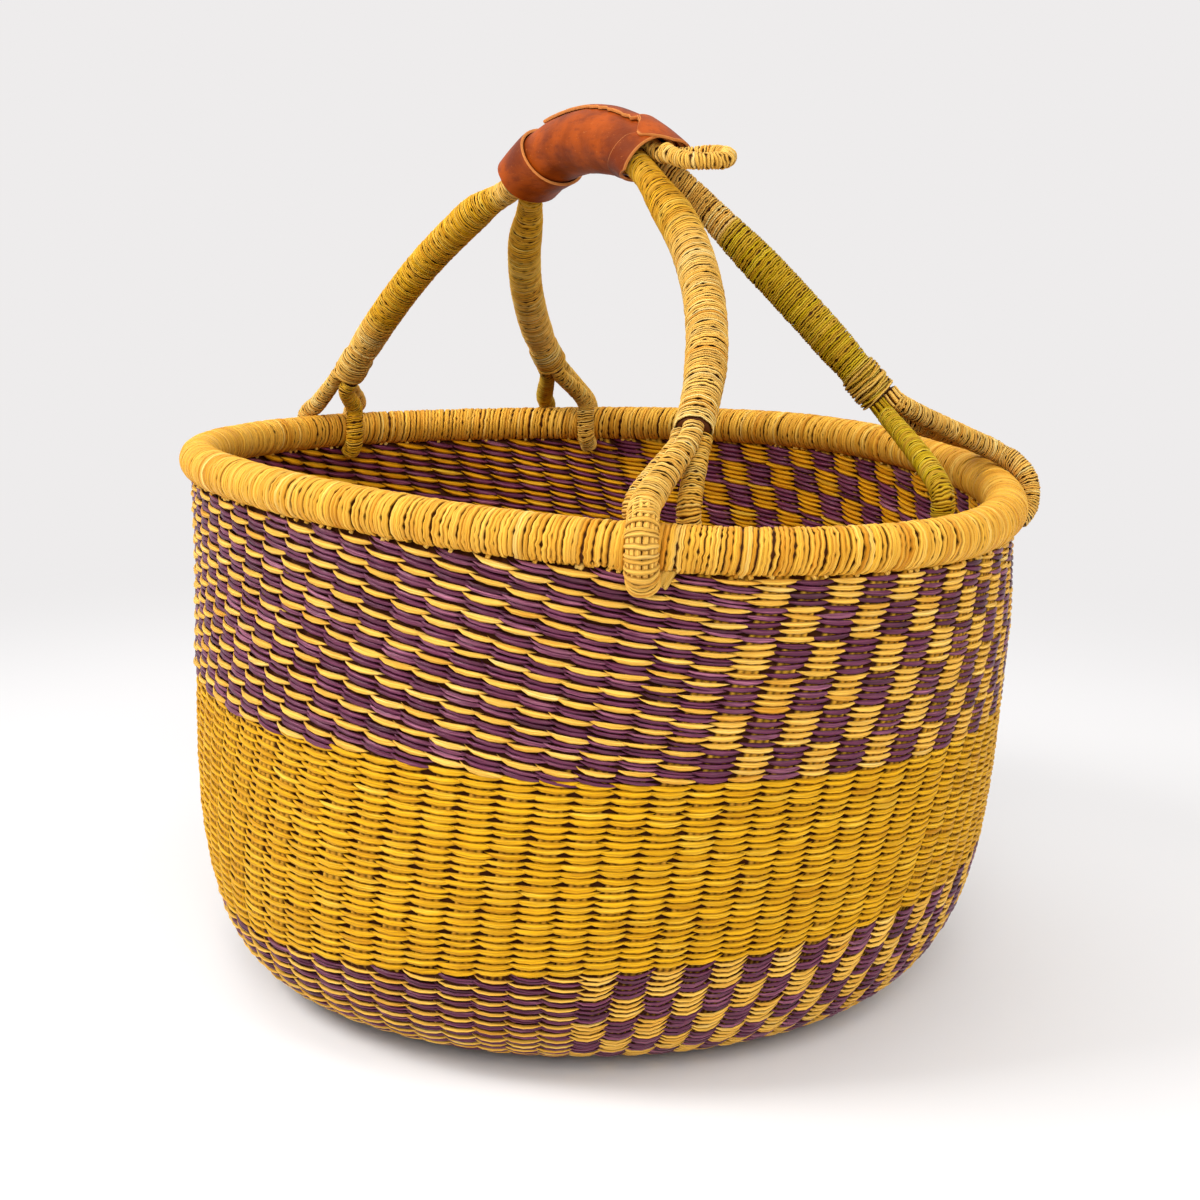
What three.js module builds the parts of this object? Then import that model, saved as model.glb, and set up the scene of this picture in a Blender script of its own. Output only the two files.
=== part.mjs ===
// Woven straw market basket with two wrapped hoops held together by a leather grip.
// Millimetres, Z up. X runs along the long axis of the oval rim. The origin is the centre of the
// flat underside. Angles are degrees turned about Z from +X.
import * as THREE from "three";

const { degToRad, smoothstep, clamp, lerp } = THREE.MathUtils;

// Sizes of the woven body.
const clearance = 0.3; // air left between two pieces that touch
const rimHalfLength = 210; // oval of the rim, to the middle of the roll
const rimHalfWidth = 161.5;
const rimPower = 1.91; // 2 is a true ellipse, less is a little pointed
const rimHeight = 224.7; // middle of the roll above the ground
const rimSag = 4.1; // the rim dips at both long ends and rises at the sides
const rimTwist = 0.8;
const rimLeanX = 1.8; // a small slope of the whole rim
const rimLeanY = 1.2;
const rimShiftX = -5.7; // the mouth stands a little off the middle of the base
const rimShiftY = 2.6;
const rollRadius = 8.9; // wrapped roll on the rim
const wallThickness = 5;

const baseRadius = 94; // flat round the basket stands on
const wallSwell = 1.003; // widest wall against the rim
const wallSwellAt = 0.679; // where it is widest, as a share of the height
const cornerPower = 3.54; // roundness of the corner between wall and base
const ovalFrom = 0.8; // share of the height above which the wall is fully oval
const underside = 12; // height over which the wall turns out of the level underside

const lowerBandTop = 58.7; // mean height of the upper edge of the lowest band
const lowerBandTiltX = 10.8; // the woven rows rise towards one side
const lowerBandTiltY = 16.3;
const middleBandTop = 139.6;
const middleBandTiltX = -0.3;
const middleBandTiltY = 7;

// The weave bulges over the stakes and dips in between them, on both faces of the two upper bands.
const stakeCount = 78;
const stakeSpacing = 15.6; // along the rim
const stakeCrowding = 3.4; // they stand closer together round one end of the oval
const crowdedAt = 8;
const crowdedWidth = 35; // degrees
const stakeMark = 339.6; // one stake stands at this angle at the height of the mark
const markShare = 0.93;
const leanAbove = 0.34; // radians the stakes lean round the basket over the height of the rim
const leanBelow = 0.2;
const leanChangesAt = 0.6;
const grooveDepth = 1.2;

// Sizes of the hoops and of the stems they fork into.
const hoopRadius = 8; // wrapped hoop in the open
const hoopCoreRadius = 5.6; // the same hoop where the leather squeezes it
const boundRadius = 7.3; // the same hoop where it is bound at its foot
const squeezeEnd = 1.12; // where the hoop starts to swell again, 1 is the end of the leather
const swellEnd = 1.55;
const stemTopRadius = 3.8; // a stem where it leaves the fork
const stemRadius = 4.6;
const bigStemRadius = 5.8; // the one stem that carries on the full hoop
const stemDrop = 3; // how far a stem reaches below the roll
const collarThickness = 1; // wrapped band round the foot of a hoop
const collarLength = 15;

// Sizes of the leather grip and of the small loop.
const gripHeight = 369.5; // middle of the grip at its highest point
const gripHalfLength = 54.5;
const gripYaw = -10; // the grip against the long axis
const gripRise = 15; // arch of the grip
const gripTilt = 3.6; // one end stands higher
const sleeveThickness = 1.5; // leather
const cuffThickness = 1.4;
// Ends of the cuffs along the grip, measured at the side, at the top and at the bottom.
const leftCuffEnd = { side: -48, top: -53, bottom: -48 };
const rightCuffEnd = { side: 53.7, top: 57.7, bottom: 41.7 };
const cuffInnerEnd = { side: 26.7, top: 31.7, bottom: 21.7 };
const cuffBeyondSleeve = 3.8; // a cuff ends a little beyond the sleeve
const leatherDrawIn = 3; // the leather hugs the hoops from below towards its ends
const drawInFrom = 16;
const drawInTo = 50;
const lapThickness = 1.6; // lapped seam along the top of the leather
const lapAngle = 42; // how far round the sleeve the lap reaches
const lapMiddle = 100; // where the lap lies, 90 is the top
const lapLength = 39.4;

const loopRadius = 3.4; // wrapped cord of the hanging loop
const loopLength = 38;
const loopHalfWidth = 10;
const loopYaw = 0;
const loopLeave = 1.1; // where the loop parts from the hoops, 1 is the end of the leather
const tailLength = 9; // end of the same cord at the other end of the grip

// Fineness.
const wallSegments = 64;
const rimSegments = 80;
const rollSides = 12;
const hoopSides = 12;
const stemSides = 8;
const gripSides = 20;

const up = new THREE.Vector3(0, 0, 1);
const fullTurn = 2 * Math.PI;
const meanRadius = Math.sqrt(rimHalfLength * rimHalfWidth);
const baseShare = (baseRadius - wallThickness / 2) / meanRadius;

// A closed body from rings of points. Neighbouring rings are joined. The last ring is joined to the
// first, or both ends are covered.
function loft(rings, joined) {
  const sides = rings[0].length;
  const points = rings.flat();
  const faces = [];
  const pairs = joined ? rings.length : rings.length - 1;
  for (let i = 0; i < pairs; i++) {
    const a = i * sides;
    const b = ((i + 1) % rings.length) * sides;
    for (let j = 0; j < sides; j++) {
      const k = (j + 1) % sides;
      faces.push([a + j, a + k, b + k], [a + j, b + k, b + j]);
    }
  }
  if (!joined) {
    const lastStart = (rings.length - 1) * sides;
    const ends = [
      { ring: rings[0], start: 0, turned: true },
      { ring: rings[rings.length - 1], start: lastStart, turned: false },
    ];
    for (const { ring, start, turned } of ends) {
      const middle = ring.reduce((sum, p) => sum.add(p), new THREE.Vector3());
      points.push(middle.divideScalar(sides));
      const centre = points.length - 1;
      for (let j = 0; j < sides; j++) {
        const k = (j + 1) % sides;
        faces.push(turned ? [centre, start + k, start + j] : [centre, start + j, start + k]);
      }
    }
  }
  return solid(points, faces);
}

// A geometry whose faces look outwards.
function solid(points, faces) {
  let volume = 0;
  const cross = new THREE.Vector3();
  for (const [a, b, c] of faces) {
    volume += points[a].dot(cross.crossVectors(points[b], points[c]));
  }
  const index = faces.flatMap(([a, b, c]) => (volume < 0 ? [a, c, b] : [a, b, c]));
  const geometry = new THREE.BufferGeometry().setFromPoints(points);
  geometry.setIndex(index);
  geometry.computeVertexNormals();
  return geometry;
}

// The oval: the point where a ray at an angle meets it.
function oval(angle, halfLength, halfWidth) {
  const c = Math.cos(angle);
  const s = Math.sin(angle);
  const sum = Math.abs(c / halfLength) ** rimPower + Math.abs(s / halfWidth) ** rimPower;
  const reach = sum ** (-1 / rimPower);
  return [reach * c, reach * s];
}

function rimRise(angle) {
  const wave = -rimSag * Math.cos(2 * angle) + rimTwist * Math.sin(2 * angle);
  return wave - rimLeanX * Math.cos(angle) - rimLeanY * Math.sin(angle);
}

// Middle of the roll at an angle, with the directions out of and along the rim.
function rimAt(angle) {
  const place = (a) => {
    const [x, y] = oval(a, rimHalfLength, rimHalfWidth);
    return new THREE.Vector3(x + rimShiftX, y + rimShiftY, rimHeight + rimRise(a));
  };
  const along = place(angle + 0.001).sub(place(angle - 0.001));
  along.z = 0;
  along.normalize();
  return { point: place(angle), along, out: new THREE.Vector3(along.y, -along.x, 0) };
}

// Outline of the wall: share of the rim size against share of the rim height.
function outline(share) {
  if (share >= wallSwellAt) {
    const t = (share - wallSwellAt) / (1 - wallSwellAt);
    return lerp(wallSwell, 1, t * t);
  }
  const t = 1 - Math.max(share, 0) / wallSwellAt;
  return lerp(baseShare, wallSwell, (1 - t ** cornerPower) ** (1 / cornerPower));
}

// The basket is round at the base and turns oval towards the mouth.
function wallMiddle(angle, share) {
  const ovalness = Math.min(share / ovalFrom, 1);
  const stretch = (rimHalfLength / rimHalfWidth) ** (ovalness / 2);
  const size = meanRadius * outline(share);
  const [x, y] = oval(angle, size * stretch, size / stretch);
  const z = share * rimHeight + rimRise(angle) * Math.max(share, 0) ** 1.5;
  return new THREE.Vector3(x + rimShiftX * share, y + rimShiftY * share, z);
}

// A point in the wall: depth 0 is the outer face, depth 1 the inner face.
function wallPoint(angle, share, depth) {
  const step = 0.004;
  const low = Math.max(share - step, 0);
  const along = wallMiddle(angle + 0.01, share).sub(wallMiddle(angle - 0.01, share));
  const slope = wallMiddle(angle, Math.min(share + step, 1)).sub(wallMiddle(angle, low));
  const out = along.cross(slope).normalize();
  const point = wallMiddle(angle, share);
  // The underside stays level: the wall grows upwards from it.
  const level = clamp(1 - (share * rimHeight) / underside, 0, 1) ** 2;
  out.lerp(new THREE.Vector3(0, 0, -1), level).normalize();
  point.addScaledVector(out, wallThickness / 2 - depth * wallThickness);
  point.z += level * (wallThickness / 2);
  if (depth === 0) point.z = Math.max(point.z, share * rimHeight * 0.6);
  return point;
}

// A closed band of the wall between two edges given as shares of the height.
function band(lowEdge, highEdge, levels, spacing) {
  const rings = [];
  for (let i = 0; i < wallSegments; i++) {
    const angle = (i / wallSegments) * fullTurn;
    const low = lowEdge(angle);
    const high = highEdge(angle);
    const ring = [];
    for (let j = 0; j <= levels; j++) {
      ring.push(wallPoint(angle, lerp(low, high, spacing(j / levels)), 0));
    }
    for (let j = levels; j >= 0; j--) {
      ring.push(wallPoint(angle, lerp(low, high, spacing(j / levels)), 1));
    }
    rings.push(ring);
  }
  return loft(rings, true);
}

// Angles near the rim of the stakes and of the grooves between them, in turn.
function stakeAngles() {
  const steps = 720;
  const counts = [0];
  for (let i = 0; i < steps; i++) {
    const angle = ((i + 0.5) / steps) * fullTurn;
    const away = angle - degToRad(crowdedAt);
    const turned = Math.atan2(Math.sin(away), Math.cos(away)) / degToRad(crowdedWidth);
    const spacing = stakeSpacing - stakeCrowding * Math.exp(-turned * turned);
    const before = rimAt((i / steps) * fullTurn).point;
    counts.push(counts[i] + rimAt(((i + 1) / steps) * fullTurn).point.distanceTo(before) / spacing);
  }
  const perStake = counts[steps] / stakeCount;
  const markPlace = (stakeMark / 360) * steps;
  const markCount = lerp(counts[Math.floor(markPlace)], counts[Math.ceil(markPlace)], markPlace % 1);
  const angles = [];
  for (let i = 0; i < 2 * stakeCount; i++) {
    const wanted = (markCount + (i / 2) * perStake) % counts[steps];
    const next = counts.findIndex((count) => count > wanted);
    const part = (wanted - counts[next - 1]) / (counts[next] - counts[next - 1]);
    angles.push(((next - 1 + part) / steps) * fullTurn);
  }
  return angles;
}

// How far a stake has turned round the basket at a height, against its place at the mark.
function leanTurn(share) {
  const above = leanAbove * (Math.max(share, leanChangesAt) - markShare);
  return above + leanBelow * Math.min(share - leanChangesAt, 0);
}

// A closed band of the wall that follows the leaning stakes, with a groove between each two.
function ribbedBand(lowEdge, highEdge, levels) {
  const rings = stakeAngles().map((markAngle, i) => {
    const shareAt = (t) => {
      let share = markShare;
      for (let k = 0; k < 4; k++) {
        const angle = markAngle + leanTurn(share);
        share = lerp(lowEdge(angle), highEdge(angle), t);
      }
      return share;
    };
    const groove = i % 2 ? grooveDepth / wallThickness : 0;
    const ring = [];
    for (let j = 0; j <= levels; j++) {
      const share = shareAt(j / levels);
      ring.push(wallPoint(markAngle + leanTurn(share), share, groove));
    }
    for (let j = levels; j >= 0; j--) {
      const share = shareAt(j / levels);
      ring.push(wallPoint(markAngle + leanTurn(share), share, 1 - groove));
    }
    return ring;
  });
  return loft(rings, true);
}

const closeToBase = (t) => t ** 2.4;
const gapShare = clearance / 2 / rimHeight;

function lowerEdge(angle) {
  const tilt = lowerBandTiltX * Math.cos(angle) + lowerBandTiltY * Math.sin(angle);
  return (lowerBandTop + tilt) / rimHeight;
}

function middleEdge(angle) {
  const tilt = middleBandTiltX * Math.cos(angle) + middleBandTiltY * Math.sin(angle);
  return (middleBandTop + tilt) / rimHeight;
}

// The wall ends just under the roll.
function topEdge(angle) {
  const rise = rimRise(angle);
  const height = rimHeight + rise - rollRadius - clearance;
  let share = height / rimHeight;
  for (let i = 0; i < 4; i++) share = (height - rise * share ** 1.5) / rimHeight;
  return share;
}

function baseDisc() {
  const disc = (reach, z) => {
    const ring = [];
    for (let i = 0; i < wallSegments; i++) {
      const edge = wallPoint((i / wallSegments) * fullTurn, 0, z > 0 ? 1 : 0);
      const distance = Math.hypot(edge.x, edge.y);
      const size = (Math.min(distance, baseRadius) - clearance) * reach;
      ring.push(new THREE.Vector3((edge.x / distance) * size, (edge.y / distance) * size, z));
    }
    return ring;
  };
  return loft([disc(0.5, 0), disc(1, 0), disc(1, wallThickness), disc(0.5, wallThickness)], false);
}

function rimRoll() {
  const rings = [];
  for (let i = 0; i < rimSegments; i++) {
    const { point, out } = rimAt((i / rimSegments) * fullTurn);
    const ring = [];
    for (let j = 0; j < rollSides; j++) {
      const turn = (j / rollSides) * fullTurn;
      const place = point.clone().addScaledVector(out, rollRadius * Math.cos(turn));
      ring.push(place.addScaledVector(up, rollRadius * Math.sin(turn)));
    }
    rings.push(ring);
  }
  return loft(rings, true);
}

// Frames square to a curve. Each is carried on from the one before so that they do not twist.
function frames(points) {
  const list = [];
  let side = null;
  for (let i = 0; i < points.length; i++) {
    const before = points[Math.max(i - 1, 0)];
    const after = points[Math.min(i + 1, points.length - 1)];
    const ahead = after.clone().sub(before).normalize();
    if (!side) {
      side = up.clone().cross(ahead);
      if (side.length() < 0.1) side.set(1, 0, 0);
    }
    side.addScaledVector(ahead, -side.dot(ahead)).normalize();
    list.push({ point: points[i], ahead, side: side.clone(), top: ahead.clone().cross(side) });
  }
  return list;
}

// A point round a frame, at a radius and a turn from its side direction.
function around(frame, radius, turn) {
  return frame.point
    .clone()
    .addScaledVector(frame.side, radius * Math.cos(turn))
    .addScaledVector(frame.top, radius * Math.sin(turn));
}

// A ring round a frame, moved along it.
function circle(frame, radius, sides, shift = 0) {
  const ring = [];
  for (let j = 0; j < sides; j++) {
    const turn = (j / sides) * fullTurn;
    ring.push(around(frame, radius, turn).addScaledVector(frame.ahead, shift));
  }
  return ring;
}

// A bar with one radius per point. A rounded end gets two smaller rings.
function bar(points, radiusAt, sides, roundStart, roundEnd) {
  const list = frames(points);
  const last = list.length - 1;
  const rings = list.map((frame, i) => circle(frame, radiusAt(i / last), sides));
  const dome = (frame, radius, way) => [
    circle(frame, radius * 0.87, sides, way * radius * 0.28),
    circle(frame, radius * 0.5, sides, way * radius * 0.46),
  ];
  if (roundStart) rings.unshift(...dome(list[0], radiusAt(0), -1).reverse());
  if (roundEnd) rings.push(...dome(list[last], radiusAt(1), 1));
  return loft(rings, false);
}

// A tube open at both ends.
function tube(points, innerRadius, outerRadius, sides) {
  const list = frames(points);
  const last = list.length - 1;
  const wall = (radius) => list.map((frame, i) => circle(frame, radius(i / last), sides));
  return loft([...wall(outerRadius), ...wall(innerRadius).reverse()], true);
}

function curve(points, count) {
  return new THREE.CatmullRomCurve3(points, false, "centripetal").getSpacedPoints(count);
}

// The grip.
const gripAlong = new THREE.Vector3(1, 0, 0).applyAxisAngle(up, degToRad(gripYaw));
const gripSide = up.clone().cross(gripAlong);

// A point of the grip's middle line: place runs from -1 to 1 along the leather.
function gripPoint(place, sideways = 0, above = 0) {
  const slope = (gripTilt - 2 * gripRise * place) / gripHalfLength;
  const normal = up.clone().addScaledVector(gripAlong, -slope).normalize();
  return new THREE.Vector3(0, 0, gripHeight - gripRise * place * place + gripTilt * place)
    .addScaledVector(gripAlong, place * gripHalfLength)
    .addScaledVector(gripSide, sideways)
    .addScaledVector(normal, above);
}

function gripLine(from, to, count) {
  const points = [];
  for (let i = 0; i <= count; i++) points.push(gripPoint(lerp(from, to, i / count)));
  return points;
}

const hoopOffset = hoopCoreRadius + clearance / 2;
const sleeveBore = hoopOffset + hoopCoreRadius + 3 * clearance;
const sleeveRadius = sleeveBore + sleeveThickness;
const cuffBore = sleeveRadius + 2 * clearance;
const lapShare = lapLength / 2 / gripHalfLength;

// A leather tube along the grip, between two ends that may be cut on a slant.
function leatherTube(start, end, bore, thickness, steps) {
  const ring = (radius, t) => {
    const points = [];
    for (let j = 0; j < gripSides; j++) {
      const turn = (j / gripSides) * fullTurn;
      const height = Math.sin(turn);
      const reach = (cut) => lerp(cut.side, height > 0 ? cut.top : cut.bottom, Math.abs(height));
      const along = lerp(reach(start), reach(end), t);
      const drawn = height < 0 ? leatherDrawIn * smoothstep(Math.abs(along), drawInFrom, drawInTo) : 0;
      points.push(gripPoint(along / gripHalfLength, radius * Math.cos(turn), (radius - drawn) * height));
    }
    return points;
  };
  const outer = [];
  const inner = [];
  for (let i = 0; i <= steps; i++) {
    outer.push(ring(bore + thickness, i / steps));
    inner.unshift(ring(bore, i / steps));
  }
  return loft([...outer, ...inner], true);
}

function lap() {
  const steps = 4;
  const innerRadius = sleeveRadius + clearance;
  const outerRadius = innerRadius + lapThickness;
  const turnAt = (step) => degToRad(lapMiddle + lapAngle * (step / steps - 0.5));
  const rings = frames(gripLine(-lapShare, lapShare, 10)).map((frame) => {
    const ring = [];
    for (let j = 0; j <= steps; j++) ring.push(around(frame, innerRadius, turnAt(j)));
    for (let j = steps; j >= 0; j--) ring.push(around(frame, outerRadius, turnAt(j)));
    return ring;
  });
  return loft(rings, false);
}

// The legs of the two hoops. End and side say where a leg leaves the grip. Foot is its angle on the
// rim. The fork stands against that foot: inwards, along the rim and above the roll. The leg bows
// between grip and fork, along the rim and upwards. Turn is how far the stems are turned about it.
const legs = {
  left: {
    end: -1, side: -1, foot: 177.7, inwards: 24, along: 9.5, rise: 32, bowAlong: 0, bowUp: 11.5, turn: 0,
  },
  back: {
    end: -1, side: 1, foot: 137, inwards: 38, along: 12, rise: 36, bowAlong: 9.5, bowUp: 0, turn: 40,
  },
  front: {
    end: 1, side: -1, foot: 326, inwards: 33, along: 15.5, rise: 38, bowAlong: 14.5, bowUp: 3, turn: 0,
  },
  right: {
    end: 1, side: 1, foot: 28, inwards: 53.5, along: 0, rise: 42, bowAlong: 0, bowUp: 3, turn: 60,
  },
};
const legStations = [0.16, 0.3, 0.5, 0.7, 0.87, 1];
const gripStations = [-1.02, -0.85, -0.5, 0, 0.5, 0.85, 1.02];
const hoopSpread = 0.8; // the hoops part a little where they leave the leather

function legPoint(leg, t) {
  const foot = rimAt(degToRad(leg.foot));
  const fork = foot.point
    .clone()
    .addScaledVector(foot.out, -leg.inwards)
    .addScaledVector(foot.along, leg.along)
    .addScaledVector(up, leg.rise);
  const bow = 4 * t * (1 - t);
  return gripPoint(leg.end, leg.side * hoopOffset)
    .lerp(fork, t)
    .addScaledVector(foot.along, leg.bowAlong * bow)
    .addScaledVector(up, leg.bowUp * bow);
}

// The line of a leg from the grip down to its fork.
function legLine(leg) {
  const points = legStations.map((t) => legPoint(leg, t));
  points[0].addScaledVector(gripSide, leg.side * hoopSpread);
  return points;
}

function hoop(first, second) {
  const middle = gripStations.map((place) => gripPoint(place, first.side * hoopOffset));
  const points = curve([...legLine(first).reverse(), ...middle, ...legLine(second)], 40);
  const last = points.length - 1;
  const radius = (t) => {
    const point = points[Math.round(t * last)];
    const place = Math.abs(point.dot(gripAlong)) / gripHalfLength;
    const fromEnd = Math.min(point.distanceTo(points[0]), point.distanceTo(points[last]));
    const open = lerp(hoopCoreRadius, hoopRadius, smoothstep(place, squeezeEnd, swellEnd));
    return lerp(boundRadius, open, smoothstep(fromEnd, collarLength, 2 * collarLength));
  };
  return bar(points, radius, hoopSides, false, false);
}

// Last point of a leg and the direction it points in.
function forkEnd(leg) {
  const end = legPoint(leg, 1);
  const ahead = end.clone().sub(legPoint(leg, 0.97)).normalize();
  return { end, ahead };
}

function collar(leg) {
  const { end, ahead } = forkEnd(leg);
  const points = [];
  const steps = 4;
  for (let i = 0; i <= steps; i++) {
    points.push(end.clone().addScaledVector(ahead, -collarLength * (1 - i / steps)));
  }
  const bore = boundRadius + 3 * clearance;
  const swell = (t) => 0.6 + 0.4 * Math.sin(Math.PI * t);
  return tube(points, () => bore, (t) => bore + collarThickness * swell(t), hoopSides);
}

// Where a stem passes beside the roll: degrees above its middle, distance as a share of touching it.
const outerBends = [[80, 1.05], [50, 1.02], [18, 1.02], [-22, 1.02]];
const innerBends = [[42, 1.4], [20, 1.1], [-4, 1.02], [-28, 1.02]];

// A stem runs from the fork down beside the roll and ends against the wall under it. It reaches the
// roll at one angle and may slant along it on the way down. Outer stems go over the roll, inner
// stems stay inside the basket. Turn is its place about the fork, 0 is on the outside.
function stem({ leg, at, outer, turn, slant = 0, radius = stemRadius }) {
  const { end, ahead } = forkEnd(leg);
  const foot = rimAt(degToRad(leg.foot));
  const across = foot.out.clone().addScaledVector(ahead, -foot.out.dot(ahead)).normalize();
  const beside = foot.along.clone().addScaledVector(ahead, -foot.along.dot(ahead));
  beside.addScaledVector(across, -beside.dot(across)).normalize();
  const spread = (2 * (stemTopRadius + clearance)) / Math.sqrt(3);
  const place = degToRad(turn + leg.turn);
  const start = end
    .clone()
    .addScaledVector(ahead, clearance)
    .addScaledVector(across, spread * Math.cos(place))
    .addScaledVector(beside, spread * Math.sin(place));
  const beyond = (distance) => start.clone().addScaledVector(ahead, distance);
  const way = outer ? 1 : -1;
  const seatPoint = (progress, sideways, above) => {
    const seat = rimAt(degToRad(at + slant * progress));
    return seat.point.addScaledVector(seat.out, way * sideways).addScaledVector(up, above);
  };
  const reach = rollRadius + radius + clearance;
  const bends = (outer ? outerBends : innerBends).map(([degrees, share], i) => {
    const rise = degToRad(degrees);
    return seatPoint(i / 4, share * reach * Math.cos(rise), share * reach * Math.sin(rise));
  });
  const tip = seatPoint(1, wallThickness / 2 + radius + clearance, -rollRadius - stemDrop);
  const line = curve([beyond(2), beyond(6), ...bends, tip], outer ? 15 : 12);
  const radiusAt = (t) => lerp(stemTopRadius, radius, Math.min(2 * t, 1));
  return bar([start, ...line], radiusAt, stemSides, false, true);
}

// The hanging loop lies in the groove between the hoops and comes out at one end of the grip.
const grooveRise = Math.sqrt((hoopCoreRadius + loopRadius + 2 * clearance) ** 2 - hoopOffset ** 2);
const loopAlong = new THREE.Vector3(1, 0, 0).applyAxisAngle(up, degToRad(loopYaw));
const loopSide = up.clone().cross(loopAlong).setZ(0.12).normalize(); // the loop is a little on edge

// Line of the loop beyond the grip: share of its length, share of its half width, rise.
const loopShape = [
  [0.21, 0.5, -1],
  [0.47, 1, -1],
  [0.76, 0.9, -2],
  [0.91, 0, -3],
  [0.76, -0.9, -2.2],
  [0.5, -1, -0.6],
  [0.26, -0.75, 2],
];

function hangingLoop() {
  const root = gripPoint(loopLeave, 0, grooveRise + clearance);
  const points = [gripPoint(0.8, 0, grooveRise), gripPoint(1, 0, grooveRise), root];
  for (const [along, side, rise] of loopShape) {
    const point = root.clone().addScaledVector(loopAlong, along * loopLength);
    points.push(point.addScaledVector(loopSide, side * loopHalfWidth).addScaledVector(up, rise));
  }
  return bar(curve(points, 34), () => loopRadius, stemSides, true, true);
}

function loopTail() {
  const from = gripPoint(-0.85, 0, grooveRise);
  const edge = gripPoint(-1, 0, grooveRise);
  const away = edge.clone().sub(from).normalize();
  const tip = edge.clone().addScaledVector(away, tailLength);
  return bar([from, edge, tip], () => loopRadius, stemSides, true, true);
}

const basket = new THREE.Group();
basket.name = "market_basket";

function add(name, geometry, color, roughness = 0.75) {
  const mesh = new THREE.Mesh(geometry, new THREE.MeshStandardMaterial({ color, roughness }));
  mesh.name = name;
  basket.add(mesh);
}

const straw = 0xe0a840;
const mustard = 0xd7a519;
const olive = 0xb89a10;
const plum = 0x6b3a5c;
const leather = 0xa84a22;
const leatherRoughness = 0.6;

const below = (edge) => (angle) => edge(angle) - gapShare;
const above = (edge) => (angle) => edge(angle) + gapShare;
add("base_weave", baseDisc(), straw);
add("lower_band", band(() => 0, below(lowerEdge), 8, closeToBase), plum);
add("middle_band", ribbedBand(above(lowerEdge), below(middleEdge), 3), mustard);
add("upper_band", ribbedBand(above(middleEdge), topEdge, 3), plum);
add("rim_roll", rimRoll(), straw);

add("hoop_front", hoop(legs.left, legs.front), straw);
add("hoop_back", hoop(legs.back, legs.right), olive);
add("fork_collar_left", collar(legs.left), straw);
add("fork_collar_back", collar(legs.back), straw);
add("fork_collar_right", collar(legs.right), olive);

const { left, back, front, right } = legs;
const stems = {
  stem_left_inner: { leg: left, at: 178, outer: false, turn: 180, color: mustard },
  stem_left_outer_near: { leg: left, at: 182, outer: true, turn: 60, color: straw },
  stem_left_outer_far: { leg: left, at: 175, outer: true, turn: -60, color: straw },
  stem_back_inner: { leg: back, at: 137, outer: false, turn: 180, color: straw },
  stem_back_outer_near: { leg: back, at: 145.5, outer: true, turn: 60, color: olive },
  stem_back_outer_far: { leg: back, at: 138.5, outer: true, turn: -60, color: straw },
  stem_front_outer: { leg: front, at: 326.5, outer: true, turn: 0, color: straw, radius: bigStemRadius },
  stem_front_inner_near: { leg: front, at: 324.8, outer: false, turn: -120, color: straw },
  stem_front_inner_far: { leg: front, at: 331, outer: false, turn: 120, color: straw },
  stem_right_inner: { leg: right, at: 6, outer: false, turn: 180, color: olive },
  stem_right_outer_near: { leg: right, at: 36, outer: true, turn: -60, slant: -6, color: straw },
  stem_right_outer_far: { leg: right, at: 42, outer: true, turn: 60, slant: -2, color: straw },
};
for (const [name, spec] of Object.entries(stems)) add(name, stem(spec), spec.color);

const moved = ({ side, top, bottom }, by) => ({ side: side + by, top: top + by, bottom: bottom + by });
const mirrored = ({ side, top, bottom }) => ({ side: -side, top: -top, bottom: -bottom });
const sleeveStart = moved(leftCuffEnd, cuffBeyondSleeve);
const sleeveEnd = moved(rightCuffEnd, -cuffBeyondSleeve);
const sleeve = leatherTube(sleeveStart, sleeveEnd, sleeveBore, sleeveThickness, 11);
const leftCuff = leatherTube(leftCuffEnd, mirrored(cuffInnerEnd), cuffBore, cuffThickness, 4);
const rightCuff = leatherTube(cuffInnerEnd, rightCuffEnd, cuffBore, cuffThickness, 4);
add("grip_sleeve", sleeve, leather, leatherRoughness);
add("grip_cuff_left", leftCuff, leather, leatherRoughness);
add("grip_cuff_right", rightCuff, leather, leatherRoughness);
add("grip_seam_lap", lap(), leather, leatherRoughness);
add("hanging_loop", hangingLoop(), straw);
add("loop_tail", loopTail(), straw);

export default basket;
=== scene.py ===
"""Looks of a woven straw market basket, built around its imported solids.

Lengths are millimetres until a mesh is made, then metres. Angles turn about Z from +X. A share of
the height is 0 under the base and 1 at the middle of the rim. Columns count stakes round the wall.
"""
import math

import bpy
import numpy as np
from mathutils import Matrix, Vector


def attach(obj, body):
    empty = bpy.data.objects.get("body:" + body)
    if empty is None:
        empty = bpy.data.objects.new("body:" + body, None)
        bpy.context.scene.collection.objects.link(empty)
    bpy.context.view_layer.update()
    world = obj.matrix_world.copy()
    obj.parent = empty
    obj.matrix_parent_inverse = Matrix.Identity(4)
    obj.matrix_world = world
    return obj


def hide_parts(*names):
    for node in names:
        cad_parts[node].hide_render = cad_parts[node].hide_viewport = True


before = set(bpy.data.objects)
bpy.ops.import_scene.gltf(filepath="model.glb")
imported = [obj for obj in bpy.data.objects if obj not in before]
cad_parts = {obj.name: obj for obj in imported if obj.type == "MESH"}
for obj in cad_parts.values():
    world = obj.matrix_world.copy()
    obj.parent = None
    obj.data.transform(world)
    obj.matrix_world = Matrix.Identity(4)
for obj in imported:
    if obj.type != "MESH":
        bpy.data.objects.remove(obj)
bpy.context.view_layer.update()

MM = 0.001
TURN = 2 * math.pi
UP = np.array([0.0, 0.0, 1.0])
rng = np.random.default_rng(446)

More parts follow.
